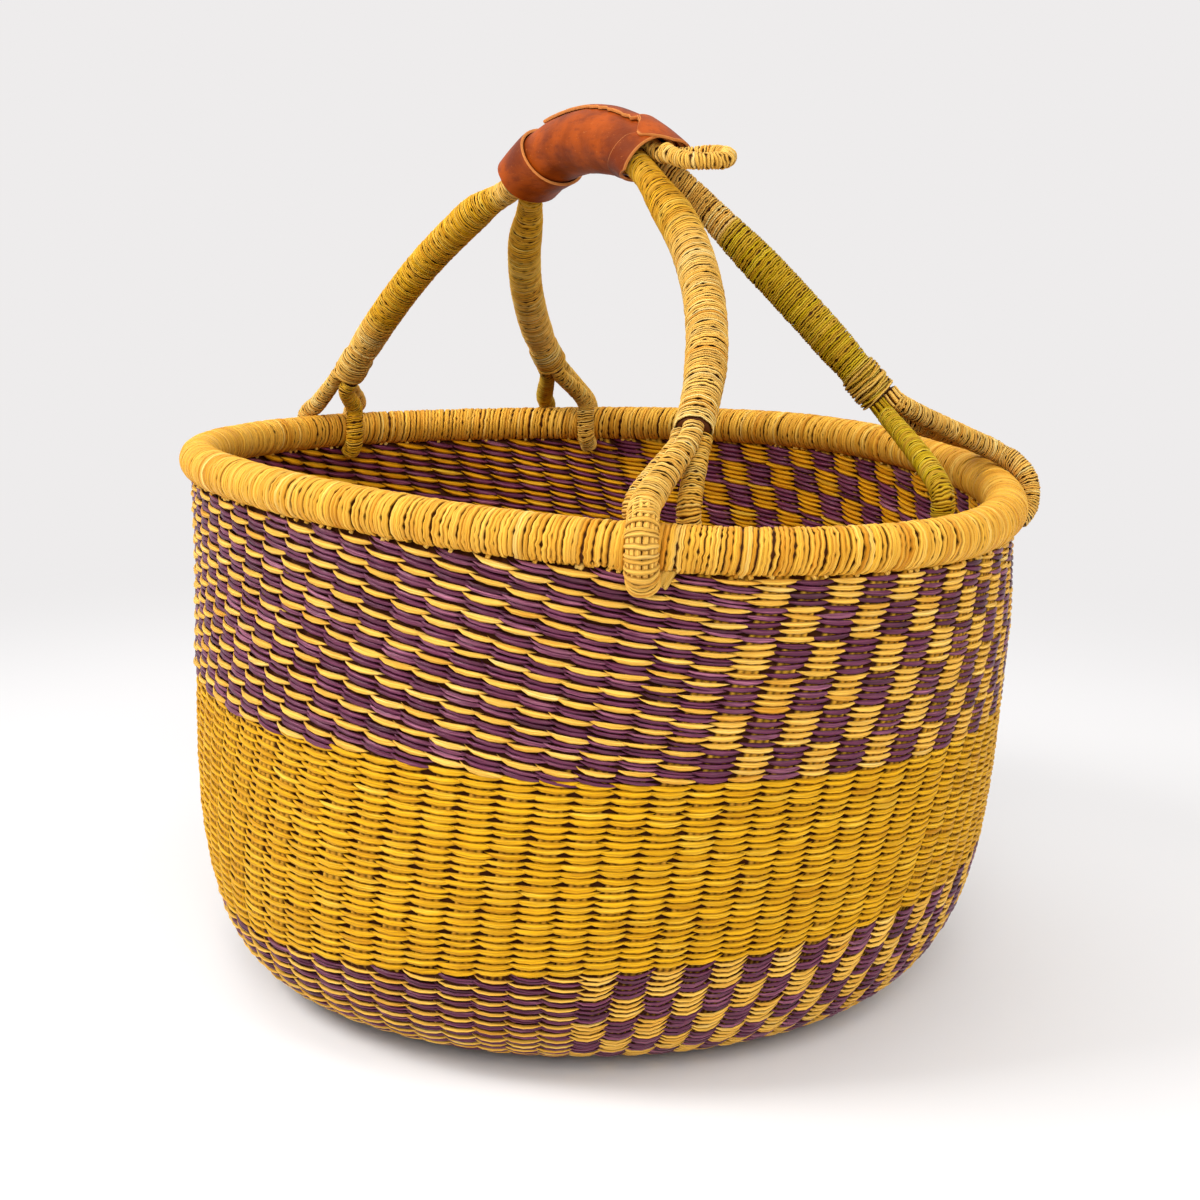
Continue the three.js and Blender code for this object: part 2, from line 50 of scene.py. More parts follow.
# Camera, worked out from the outline of the basket in the photo
CAMERA_PLACE = (0.60535, -0.52302, 0.33741)
CAMERA_AHEAD = (-0.73195, 0.64755, -0.21197)
CAMERA_TOP = (-0.15876, 0.14045, 0.97728)
CAMERA_SENSOR, CAMERA_LENS = 36, 52.70
CAMERA_SHIFT = (-0.00353, -0.00195)
CAMERA_NEAREST, CAMERA_FARTHEST = 0.01, 50


def place_camera():
    data = bpy.data.cameras.new("camera")
    camera = bpy.data.objects.new("camera", data)
    bpy.context.scene.collection.objects.link(camera)
    ahead = Vector(CAMERA_AHEAD).normalized()
    right = ahead.cross(Vector(CAMERA_TOP).normalized()).normalized()
    turn = Matrix((right, right.cross(ahead), -ahead)).transposed()
    camera.matrix_world = Matrix.Translation(CAMERA_PLACE) @ turn.to_4x4()
    data.sensor_width = CAMERA_SENSOR
    data.lens = CAMERA_LENS
    data.shift_x, data.shift_y = CAMERA_SHIFT
    data.clip_start, data.clip_end = CAMERA_NEAREST, CAMERA_FARTHEST
    bpy.context.scene.camera = camera


place_camera()

# Shape of the body, as in the part
RIM_LENGTH, RIM_WIDTH, RIM_POWER = 210.0, 161.5, 1.91
RIM_HEIGHT = 224.7
RIM_SAG, RIM_TWIST, RIM_LEAN_X, RIM_LEAN_Y = 4.1, 0.8, 1.8, 1.2
RIM_SHIFT = np.array([-5.7, 2.6])
RIM_RISE_POWER = 1.5
ROLL = 8.9
WALL = 5.0
BASE = 94.0
SWELL, SWELL_AT, CORNER, OVAL_FROM, UNDERSIDE = 1.003, 0.679, 3.54, 0.8, 12.0
GAP = 0.3
MEAN = math.sqrt(RIM_LENGTH * RIM_WIDTH)
BASE_SHARE = (BASE - WALL / 2) / MEAN
# Heights of the edges between the bands: the mean, and how far they tip along X and along Y
LOWER_EDGE = (58.7, 10.8, 16.3)
MIDDLE_EDGE = (139.6, -0.3, 7.0)
STAKES = 78
STAKE_SPACING, STAKE_CROWDING = 15.6, 3.4
CROWDED_AT, CROWDED_WIDTH = math.radians(8), math.radians(35)
STAKE_MARK, MARK_SHARE = math.radians(339.6), 0.93
LEAN_ABOVE, LEAN_BELOW, LEAN_CHANGES_AT = 0.34, 0.2, 0.6
# How far to either side the points lie that give a direction on the wall and on the rim
SHARE_STEP, ANGLE_STEP, RIM_STEP = 0.004, 0.01, 0.001


def mix(a, b, t):
    return a + (b - a) * t


def smooth(x, low, high):
    t = np.clip((x - low) / (high - low), 0, 1)
    return t * t * (3 - 2 * t)


def unit(v):
    return v / np.maximum(np.linalg.norm(v, axis=-1, keepdims=True), 1e-9)


def oval(angle, length, width):
    c, s = np.cos(angle), np.sin(angle)
    total = np.abs(c / length) ** RIM_POWER + np.abs(s / width) ** RIM_POWER
    reach = total ** (-1 / RIM_POWER)
    return reach * c, reach * s


def rim_rise(angle):
    wave = -RIM_SAG * np.cos(2 * angle) + RIM_TWIST * np.sin(2 * angle)
    return wave - RIM_LEAN_X * np.cos(angle) - RIM_LEAN_Y * np.sin(angle)


def rim_point(angle):
    x, y = oval(angle, RIM_LENGTH, RIM_WIDTH)
    return np.stack([x + RIM_SHIFT[0], y + RIM_SHIFT[1], RIM_HEIGHT + rim_rise(angle)], -1)


def rim_at(angle):
    """Middle of the roll, with the directions along and out of the rim."""
    angle = np.asarray(angle, float)
    along = rim_point(angle + RIM_STEP) - rim_point(angle - RIM_STEP)
    along[..., 2] = 0
    along = unit(along)
    out = np.stack([along[..., 1], -along[..., 0], 0 * along[..., 0]], -1)
    return rim_point(angle), along, out


def outline(share):
    """Reach of the wall at a share of the height, against its reach at the rim."""
    upper = np.clip((share - SWELL_AT) / (1 - SWELL_AT), 0, None)
    lower = 1 - np.clip(share, 0, SWELL_AT) / SWELL_AT
    curve = mix(BASE_SHARE, SWELL, (1 - lower**CORNER) ** (1 / CORNER))
    return np.where(share >= SWELL_AT, mix(SWELL, 1.0, upper**2), curve)


def wall_middle(angle, share):
    stretch = (RIM_LENGTH / RIM_WIDTH) ** (np.minimum(share / OVAL_FROM, 1) / 2)
    size = MEAN * outline(share)
    x, y = oval(angle, size * stretch, size / stretch)
    z = share * RIM_HEIGHT + rim_rise(angle) * np.maximum(share, 0) ** RIM_RISE_POWER
    return np.stack([x + RIM_SHIFT[0] * share, y + RIM_SHIFT[1] * share, z], -1)


def wall_frame(angle, share):
    """A point in the middle of the wall with its outward and upward directions."""
    lower = wall_middle(angle, np.maximum(share - SHARE_STEP, 0))
    slope = wall_middle(angle, np.minimum(share + SHARE_STEP, 1)) - lower
    along = wall_middle(angle + ANGLE_STEP, share) - wall_middle(angle - ANGLE_STEP, share)
    level = np.clip(1 - share * RIM_HEIGHT / UNDERSIDE, 0, 1)[..., None] ** 2
    out = unit(mix(unit(np.cross(along, slope)), -UP, level))
    point = wall_middle(angle, share)
    point[..., 2] += level[..., 0] * WALL / 2
    return point, out, unit(slope)


def edge_share(edge, angle):
    mean, tip_x, tip_y = edge
    return (mean + tip_x * np.cos(angle) + tip_y * np.sin(angle)) / RIM_HEIGHT


def foot_edge(angle):
    return 0.0 * angle


def lower_edge(angle):
    return edge_share(LOWER_EDGE, angle)


def middle_edge(angle):
    return edge_share(MIDDLE_EDGE, angle)


def top_edge(angle):
    """Where the wall meets the roll. A few rounds settle it, because the wall rises with the rim."""
    rise = rim_rise(angle)
    height = RIM_HEIGHT + rise - ROLL - GAP
    share = height / RIM_HEIGHT
    for _ in range(4):
        share = (height - rise * share**RIM_RISE_POWER) / RIM_HEIGHT
    return share


def stake_table():
    """Angles at the height of the mark against the number of stakes passed from the marked one."""
    angles = np.linspace(0, TURN, 721)
    middle = 0.5 * (angles[1:] + angles[:-1])
    away = np.angle(np.exp(1j * (middle - CROWDED_AT))) / CROWDED_WIDTH
    spacing = STAKE_SPACING - STAKE_CROWDING * np.exp(-(away**2))
    steps = np.linalg.norm(np.diff(rim_point(angles), axis=0), axis=1)
    counts = np.concatenate([[0], np.cumsum(steps / spacing)])
    counts = counts / counts[-1] * STAKES
    return angles, counts - np.interp(STAKE_MARK, angles, counts)


STAKE_ANGLES, STAKE_COUNTS = stake_table()


def lean_turn(share):
    above = LEAN_ABOVE * (np.maximum(share, LEAN_CHANGES_AT) - MARK_SHARE)
    return above + LEAN_BELOW * np.minimum(share - LEAN_CHANGES_AT, 0)


def stake_angle(column, share):
    """Angle of a stake, or of a place between stakes, at a height."""
    whole = np.floor((column - STAKE_COUNTS[0]) / STAKES)
    angle = np.interp(column - whole * STAKES, STAKE_COUNTS, STAKE_ANGLES)
    return angle + whole * TURN + lean_turn(share)


def column_at(degrees, share):
    """The stake that stands at an angle, at a height."""
    angle = math.radians(degrees) - lean_turn(np.array(share))
    return float(np.interp(angle, STAKE_ANGLES, STAKE_COUNTS))


def facing(columns, share):
    """Degrees round the basket at which columns stand, at a height."""
    return np.degrees(np.mod(stake_angle(columns, share), TURN))


# Making meshes
def deselect():
    if bpy.context.object and bpy.context.object.mode != "OBJECT":
        bpy.ops.object.mode_set(mode="OBJECT")
    bpy.ops.object.select_all(action="DESELECT")


def edit_all():
    bpy.ops.object.mode_set(mode="EDIT")
    bpy.ops.mesh.select_all(action="SELECT")


def dressed(piece, material, replaced=()):
    piece.data.materials.clear()
    piece.data.materials.append(material)
    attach(piece, "root")
    if replaced:
        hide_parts(*replaced)
    return piece


def add_attribute(mesh, key, values):
    kind, field = ("FLOAT", "value") if values.ndim == 1 else ("FLOAT_VECTOR", "vector")
    layer = mesh.attributes.new(key, kind, "POINT")
    layer.data.foreach_set(field, values.astype(np.float32).ravel())


def read_mesh(mesh):
    """Points, corners of each face and the faces' corner lists of a mesh, as flat arrays."""
    points = np.zeros(len(mesh.vertices) * 3, np.float32)
    mesh.vertices.foreach_get("co", points)
    totals = np.zeros(len(mesh.polygons), np.int32)
    mesh.polygons.foreach_get("loop_total", totals)
    corners = np.zeros(len(mesh.loops), np.int32)
    mesh.loops.foreach_get("vertex_index", corners)
    return {"points": points.reshape(-1, 3).astype(float), "totals": totals, "corners": corners}


def piece_of(name, points, totals, corners, attributes):
    """A mesh object from flat arrays. Points are millimetres."""
    mesh = bpy.data.meshes.new(name)
    starts = np.concatenate([[0], np.cumsum(totals)[:-1]])
    mesh.vertices.add(len(points))
    mesh.vertices.foreach_set("co", (points * MM).astype(np.float32).ravel())
    mesh.loops.add(len(corners))
    mesh.loops.foreach_set("vertex_index", corners.astype(np.int32))
    mesh.polygons.add(len(totals))
    mesh.polygons.foreach_set("loop_start", starts.astype(np.int32))
    mesh.polygons.foreach_set("loop_total", totals.astype(np.int32))
    mesh.polygons.foreach_set("use_smooth", np.ones(len(totals), bool))
    for key, values in attributes.items():
        add_attribute(mesh, key, values)
    mesh.update(calc_edges=True)
    piece = bpy.data.objects.new(name, mesh)
    bpy.context.scene.collection.objects.link(piece)
    return piece


def straw_pattern(name, sides, stations):
    """One straight straw, drawn out of a ring along X. Stations are (place, height, thickness)."""
    deselect()
    place, height, thickness = stations[0]
    bpy.ops.mesh.primitive_circle_add(vertices=sides, radius=1, rotation=(0, math.pi / 2, 0))
    straw = bpy.context.object
    straw.name = name
    bpy.ops.object.transform_apply(rotation=True)
    edit_all()
    bpy.ops.transform.resize(value=(1, height, thickness), center_override=(0, 0, 0))
    bpy.ops.transform.translate(value=(place, 0, 0))
    bpy.ops.mesh.edge_face_add()
    before = (place, height, thickness)
    for place, height, thickness in stations[1:]:
        step = (place - before[0], 0, 0)
        bpy.ops.mesh.extrude_region_move(TRANSFORM_OT_translate={"value": step})
        change = (1, height / before[1], thickness / before[2])
        bpy.ops.transform.resize(value=change, center_override=(place, 0, 0))
        before = (place, height, thickness)
    bpy.ops.mesh.select_all(action="SELECT")
    bpy.ops.mesh.normals_make_consistent(inside=False)
    bpy.ops.object.mode_set(mode="OBJECT")
    pattern = read_mesh(straw.data)
    bpy.data.objects.remove(straw)
    return pattern


def copies(name, pattern, points, grain, extra):
    """Many bent copies of one straw in a single mesh. Points are (copies, vertices, 3)."""
    count, size = points.shape[:2]
    corners = (pattern["corners"][None, :] + size * np.arange(count)[:, None]).ravel()
    totals = np.tile(pattern["totals"], count)
    attributes = {"grain": grain.reshape(-1, 3)}
    for key, values in extra.items():
        if values.ndim == 1:
            values = values[:, None]
        attributes[key] = np.broadcast_to(values, (count, size)).ravel()
    return piece_of(name, points.reshape(-1, 3), totals, corners, attributes)


def uneven(count, spread):
    """A factor or a length for each straw that differs a little from straw to straw."""
    return spread * rng.standard_normal((count, 1))


def tones(count, mean, spread):
    return np.clip(mean + spread * rng.standard_normal(count), 0.02, 0.98)


def own_grain(grain):
    """Moves each straw to its own place in the grain, so that no two look alike."""
    return grain + rng.uniform(0, 400, (len(grain), 1, 3))


# Materials
class Socket:
    """An output of a node, so that sums on it can be written as sums."""

    def __init__(self, nodes, link):
        self.nodes = nodes
        self.link = link

    def sum(self, operation, *values):
        return self.nodes.add("ShaderNodeMath", {"operation": operation}, dict(enumerate(values)))

    def __add__(self, other):
        return self.sum("ADD", self, other)

    __radd__ = __add__

    def __sub__(self, other):
        return self.sum("SUBTRACT", self, other)

    def __rsub__(self, other):
        return self.sum("SUBTRACT", other, self)

    def __mul__(self, other):
        return self.sum("MULTIPLY", self, other)

    __rmul__ = __mul__

    def most(self, other):
        return self.sum("MAXIMUM", self, other)

    def above(self, low, high):
        """0 up to the first value, 1 from the second, with a smooth step between."""
        sockets = {"Value": self, "From Min": low, "From Max": high}
        return self.nodes.add("ShaderNodeMapRange", {"interpolation_type": "SMOOTHSTEP"}, sockets)


class Nodes:
    """The nodes of a material or of the world."""

    def __init__(self, tree):
        self.tree = tree

    def add(self, kind, settings=None, sockets=None, out=0):
        """A node of any kind: its settings first, then the values or links of its sockets."""
        node = self.tree.nodes.new(kind)
        for key, value in (settings or {}).items():
            setattr(node, key, value)
        for key, value in (sockets or {}).items():
            self.join(node.inputs[key], value)
        return Socket(self, node.outputs[out])

    def join(self, socket, value):
        if isinstance(value, Socket):
            self.tree.links.new(value.link, socket)
        elif isinstance(value, tuple) and len(value) == 3 and socket.type == "RGBA":
            socket.default_value = (*value, 1)
        else:
            socket.default_value = value

    def attribute(self, name, out="Fac"):
        return self.add("ShaderNodeAttribute", {"attribute_name": name}, out=out)

    def place(self):
        return self.add("ShaderNodeTexCoord", out="Object")

    def noise(self, vector, scale, detail=2.0, roughness=0.5):
        scaled = self.add("ShaderNodeMapping", {"vector_type": "POINT"}, {"Vector": vector, "Scale": scale})
        sockets = {"Vector": scaled, "Scale": 1.0, "Detail": detail, "Roughness": roughness}
        return self.add("ShaderNodeTexNoise", {"noise_dimensions": "3D"}, sockets)

    def blend(self, share, first, second):
        """A colour between two. Sockets 6 and 7 of a Mix node and its output 2 are its colours."""
        return self.add("ShaderNodeMix", {"data_type": "RGBA"}, {0: share, 6: first, 7: second}, out=2)

    def bump(self, height, strength, distance):
        sockets = {"Height": height, "Strength": strength, "Distance": distance}
        return self.add("ShaderNodeBump", None, sockets)

    def seen(self):
        """1 for camera, mirrored and see-through rays, 0 for the rays that light the basket."""
        rays = ("Is Camera Ray", "Is Glossy Ray", "Is Transmission Ray")
        camera, mirrored, through = (self.add("ShaderNodeLightPath", out=ray) for ray in rays)
        return camera.most(mirrored).most(through)


class Finish(Nodes):
    def __init__(self, name):
        self.material = bpy.data.materials.new(name)
        self.material.use_nodes = True
        super().__init__(self.material.node_tree)
        self.shader = self.tree.nodes["Principled BSDF"]

    def set(self, **values):
        for key, value in values.items():
            name = key.replace("_", " ").title().replace("Ior", "IOR")
            self.join(self.shader.inputs[name], value)
        return self.material


def linear(*rgb):
    """A colour given in the 0 to 255 of a colour card."""
    parts = [c / 255 for c in rgb]
    return tuple(c / 12.92 if c <= 0.04045 else ((c + 0.055) / 1.055) ** 2.4 for c in parts)


# Dark, middle and light straw of each dye. The inner face has its own copies: a deeper orange undyed
# straw and a lighter plum, as painted light for the inside of the basket.
NATURAL = (linear(208, 132, 24), linear(244, 186, 70), linear(255, 224, 134))
BRIGHT = (linear(214, 140, 30), linear(250, 196, 82), linear(255, 230, 144))
PALE = (linear(232, 158, 52), linear(252, 200, 96), linear(255, 236, 162))
PLUM = (linear(54, 10, 29), linear(102, 37, 70), linear(188, 116, 140))
INNER_LIT_PLUM = (linear(64, 12, 34), linear(122, 46, 80), linear(200, 124, 146))
INNER_LIT_NATURAL = (linear(206, 118, 0), linear(252, 178, 12), linear(255, 216, 72))
MUSTARD = (linear(190, 122, 2), linear(233, 173, 16), linear(253, 213, 76))
OLIVE = (linear(136, 108, 0), linear(194, 160, 2), linear(232, 204, 40))
# Scales of the patterns in the grain, per millimetre along and across a straw
FIBRE, SPLIT, PATCH = (0.05, 2.6, 2.6), (0.025, 1.0, 1.0), (0.12, 0.5, 0.5)
# The last entry of each is the dark brown of painted shade.
SATIN = {"rough": 0.45, "gloss": 0.3, "tint": (1.0, 0.76, 0.34), "painted_shade_color": (0.085, 0.024, 0.0015)}
GLOSSY = {"rough": 0.28, "gloss": 0.5, "tint": (1.0, 0.66, 0.74), "painted_shade_color": (0.012, 0.001, 0.003)}


def straw_finish(name, first, second=None, rough=0.0, gloss=0.0, tint=(), painted_shade_color=()):
    """Dried grass straw. Grain holds millimetres along and across a straw, tone differs from straw
    to straw, and dye runs to the second set of colours. The shade attribute paints shade: it darkens
    the straw towards a dark colour deep between straws, at their tips and edges and under them."""
    f = Finish(name)
    grain = f.attribute("grain", "Vector")
    tone = f.attribute("tone")
    fibre = f.noise(grain, FIBRE, 3.0, 0.6)
    split = f.noise(grain, SPLIT, 1.0)
    patch = f.noise(grain, PATCH)
    level = (tone * 0.66 + fibre.above(0.3, 0.7) * 0.34 + patch * 0.3) - 0.16

    def colours(dark, middle, light):
        low = f.blend(level.above(0.0, 0.5), dark, middle)
        return f.blend(level.above(0.5, 1.0), low, light)

    color = colours(*first)
    deep = tuple(0.7 * part for part in first[0])
    if second:
        color = f.blend(f.attribute("dye"), color, colours(*second))
    crease = split.above(0.36, 0.46) * (1 - split.above(0.5, 0.6))
    color = f.blend(crease * 0.42, color, deep)
    # Painted shade, by the shade attribute.
    color = f.blend(f.attribute("shade"), color, painted_shade_color)
    normal = f.bump(fibre * 0.55 + split.above(0.35, 0.6) * 0.6, 0.8, 0.0004)
    f.set(base_color=color, roughness=rough + 0.2 * fibre, normal=normal)
    return f.set(specular_ior_level=gloss, specular_tint=tint)


natural_straw = straw_finish("natural_straw", BRIGHT, **SATIN)
plum_straw = straw_finish("plum_straw", PLUM, **GLOSSY)
inner_straw = straw_finish("inner_straw", INNER_LIT_NATURAL, **SATIN)
inner_plum = straw_finish("inner_plum", INNER_LIT_PLUM, **GLOSSY)
mustard_straw = straw_finish("mustard_straw", MUSTARD, **SATIN)
rim_straw = straw_finish("rim_straw", NATURAL, MUSTARD, **SATIN)
wrap_mustard = straw_finish("wrap_mustard", PALE, MUSTARD, **SATIN)
wrap_olive = straw_finish("wrap_olive", PALE, OLIVE, **SATIN)


def core_finish():
    """Straw under the wraps and between the rows, seen only through slits. Low tone gives the dark
    brown of painted shade in the slits and gaps.
    """
    f = Finish("stake_straw")
    tone = f.attribute("tone")
    fibre = f.noise(f.place(), (900, 900, 60), 3.0)
    color = f.blend(tone.above(0.3, 0.9), linear(74, 34, 4), linear(244, 184, 56))
    color = f.blend(fibre * 0.4, color, f.blend(0.5, color, linear(96, 50, 6)))
    normal = f.bump(fibre, 0.4, 0.0003)
    return f.set(base_color=color, roughness=0.6, normal=normal, specular_ior_level=0.15)


stake_straw = core_finish()

# Patterns of one straw. The ones that show little have fewer faces.
LEAF_STATIONS = (
    (-1, 0.08, 0.2), (-0.8, 0.42, 0.6), (-0.5, 0.85, 1), (0, 1, 1), (0.45, 0.88, 1), (0.78, 0.45, 0.6),
    (1, 0.08, 0.2),
)
INNER_STATIONS = (
    (-1, 0.08, 0.2), (-0.7, 0.58, 0.75), (-0.25, 0.97, 1), (0.3, 0.95, 1), (0.75, 0.5, 0.65), (1, 0.08, 0.2),
)
BASE_STATIONS = ((-1, 0.1, 0.2), (-0.55, 0.8, 0.95), (0, 1, 1), (0.55, 0.8, 0.95), (1, 0.1, 0.2))
STUB_STATIONS = ((0, 1, 1), (0.9, 1, 1), (1, 0.75, 0.75))
LEAF = straw_pattern("stitch", 6, LEAF_STATIONS)
INNER_LEAF = straw_pattern("inner_stitch", 4, INNER_STATIONS)
BASE_LEAF = straw_pattern("base_stitch", 4, BASE_STATIONS)
STUB = straw_pattern("stub", 6, STUB_STATIONS)

# The weave. Rows follow the wall's own length, so that they stay even round the corner to the base.
GRID_ANGLES = np.linspace(0, TURN, 97)
GRID_SHARES = np.linspace(0, 1, 400) ** 2.5
ROW_STEPS = np.linspace(0, 1, 81)


def wall_lengths():
    table = np.zeros((len(GRID_ANGLES), len(GRID_SHARES)))
    for i, angle in enumerate(GRID_ANGLES):
        line = wall_middle(np.full(len(GRID_SHARES), angle), GRID_SHARES)
        table[i, 1:] = np.cumsum(np.linalg.norm(np.diff(line, axis=0), axis=1))
    return table


WALL_LENGTHS = wall_lengths()


def row_table(low, high):
    """Shares of the height at even steps of wall length between two edges, per angle."""
    table = np.zeros((len(GRID_ANGLES), len(ROW_STEPS)))
    for i, angle in enumerate(GRID_ANGLES):
        start, end = np.interp([low(angle), high(angle)], GRID_SHARES, WALL_LENGTHS[i])
        table[i] = np.interp(mix(start, end, ROW_STEPS), WALL_LENGTHS[i], GRID_SHARES)
    return table


def look_up(table, angle, step):
    """Share of the height at an angle, a step of 0 to 1 up a band."""
    across = np.mod(angle, TURN) / TURN * (table.shape[0] - 1)
    up = np.clip(step, 0, 1) * (table.shape[1] - 1)
    i = np.minimum(across.astype(int), table.shape[0] - 2)
    j = np.minimum(up.astype(int), table.shape[1] - 2)
    here = mix(table[i, j], table[i, j + 1], up - j)
    beside = mix(table[i + 1, j], table[i + 1, j + 1], up - j)
    return mix(here, beside, across - i)


BANDS = {
    "lower": row_table(foot_edge, lower_edge),
    "middle": row_table(lower_edge, middle_edge),
    "upper": row_table(middle_edge, top_edge),
}
BAND_LENGTH = {"lower": 88.0, "middle": 80.0, "upper": 76.0}
BLOCK_HEIGHT = 5
BLOCK_TOP = {"lower": 5, "middle": 5, "upper": 4}  # rows of the uppermost block
BLOCK_FIRST = {"lower": -2, "middle": 0, "upper": 0}
BLOCK_LAST = round(column_at(127, 0.85)) % STAKES
BLOCK_ROWS = {"lower": 51, "middle": 27, "upper": 29}
STRIPE_ROWS = {"lower": 38, "middle": 27, "upper": 24}
FAR_ROWS = {"lower": 35, "middle": 27, "upper": 21.5}
FIRST_COLUMN = BLOCK_FIRST["lower"]
FLAT, UPRIGHT = 0.02, 0.12  # shares of the height over which the stitches take their full form
TONE_SPREAD = {"mustard": 0.13, "natural": 0.15, "plum": 0.2}

# Form of a stitch. Reach is in columns and half, its half height, in rows. Tail turns one end up and
# sweep keeps that to the end, slope and smile tilt and bend it along the wall. Stand, bulge, tuck
# and thick take it out of the wall. What isn't named in a later form stays as in PLAIN.
PLAIN = dict(reach=1.36, half=0.4, tail=0.4, sweep=2.5, slope=0.1, smile=0.35, stand=0.75, bulge=2.1,
             tuck=0.1, thick=0.6)
MIDDLE = dict(reach=1.4, half=0.46, tail=0.9, sweep=2.5, slope=0.95, smile=0.2)
MIDDLE_RIGHT = dict(tail=0.5, slope=-0.25, smile=0.7)
MIDDLE_LEFT = dict(half=0.34, tail=2.8, sweep=5.0, slope=1.3)
LOWER = dict(half=0.52, slope=-0.9, smile=2.4, stand=1.0, bulge=1.9)
INNER_BLOCK = dict(half=0.54, tail=0.7, slope=1.0, bulge=2.3, thick=0.8)
STRIPED = dict(tail=2.3, sweep=4.2, slope=0.75, smile=0.1, tuck=0.3)
STRIPED_RIGHT = dict(tail=1.0, slope=0.35)
STRIPED_LEFT = dict(tail=3.4, sweep=7.0, slope=0.4, smile=0.3)
INNER_STRIPED = dict(reach=1.26, half=0.5, tail=1.2, sweep=2.5, slope=1.7, thick=0.9)
SINGLE = dict(reach=1.32, half=0.36, stand=1.35, thick=0.8)
STRAND = dict(reach=1.34, half=0.29, thick=0.85)
STRANDS = ((0.28, 0.6), (-0.28, 0.75))  # height in the row and stand of the two straws of a double stitch
STRAND_SLOPE, STRAND_SLOPE_LEFT = 0.35, 0.8


def blended(form, changes, share):
    """A form with some of its values drawn towards others, by a share for each stitch."""
    return {**form, **{key: mix(form[key], value, share) for key, value in changes.items()}}


def stitches(rows, columns, height, band, inside, form, offset=0.0):
    """Bent copies of the stitch. Rows, columns and heights are arrays, one value per stitch."""
    table = BANDS[band]
    leaf = (INNER_LEAF if inside else LEAF)["points"][None]
    count = len(rows)
    place, wide, deep = leaf[..., 0], leaf[..., 1], leaf[..., 2]
    along = place * np.ones((count, 1))
    way = -1.0 if inside else 1.0

    def value(key):
        return np.broadcast_to(form[key], count)[:, None]

    reach = value("reach") * (1 + uneven(count, 0.05))
    middle = look_up(table, stake_angle(columns, 0.5), rows)[:, None]
    column = columns[:, None] + uneven(count, 0.03) + 0.5 * reach * along * way
    share = look_up(table, stake_angle(column, middle), rows[:, None] + 0 * along)
    point, out, rise = wall_frame(stake_angle(column, share), share)
    level = smooth(share, FLAT, UPRIGHT)

    tail = np.exp(-value("sweep") * (along + 1))
    lift = value("tail") * (tail - 0.2) - value("slope") * along + value("smile") * (along**2 - 0.4)
    lift = lift + uneven(count, 0.24) * along
    lift = lift * mix(0.4, 1.0, level) + np.reshape(offset, (-1, 1))
    arch = value("bulge") * mix(0.4, 1.0, level) * np.cos(0.48 * math.pi * along)
    tuck = value("tuck") * (1 - along) + uneven(count, 0.1)
    stand = mix(0.6, value("stand"), level) + arch + tuck
    wide = wide * value("half") * height[:, None] * (1 + uneven(count, 0.08))
    thick = deep * value("thick")

    points = point + rise * (lift + wide)[..., None] + out * (way * (stand + thick))[..., None]
    points[..., 2] = np.maximum(points[..., 2], 0.0)
    grain = own_grain(np.stack([along * 8.5 * reach, wide, np.broadcast_to(thick, wide.shape)], -1))
    # Painted shade: darker at the tucked tips, along the upper and lower edges of a stitch and on its
    # underside.
    tip = np.clip(np.abs(along) * 1.15 - 0.15, 0, 1) ** 4
    square = leaf[..., 1] ** 2
    edge = square / np.maximum(square + deep**2, 1e-6)
    shade = 0.3 * tip + 0.42 * edge**2 + 0.2 * (deep < 0)
    return points, grain, shade


def row_count(band, column):
    """Rows of the band at a column, and whether it lies in the field of blocks."""
    first = BLOCK_FIRST[band]
    if first <= column <= BLOCK_LAST:
        return BLOCK_ROWS[band], True
    away = 0 if column < first else min(column - BLOCK_LAST, first + STAKES - column)
    beside = mix(BLOCK_ROWS[band], STRIPE_ROWS[band], float(smooth(away, 0, 5)))
    return mix(beside, FAR_ROWS[band], float(smooth(away, 4, 12))), False


def color_of(band, column, row, in_block, inside):
    """Rows are counted from the top of the band. Inside, plum and undyed straw change places."""
    if band == "middle":
        return "mustard"
    if in_block:
        row = (row - BLOCK_TOP[band]) // BLOCK_HEIGHT + 1
        plum = (column + row) % 2 == 1
    else:
        plum = (column + row) % 2 == 0
    return "plum" if plum != inside else "natural"


def band_height(band, columns):
    """Height of a band at some columns, against its mean height."""

    def span(at):
        angle = stake_angle(at, 0.5)
        return look_up(BANDS[band], angle, np.ones(len(at))) - look_up(BANDS[band], angle, np.zeros(len(at)))

    return span(columns) / span(np.arange(STAKES, dtype=float)).mean()


def joined(parts):
    return [np.concatenate([part[i] for part in parts]) for i in range(len(parts[0]))]


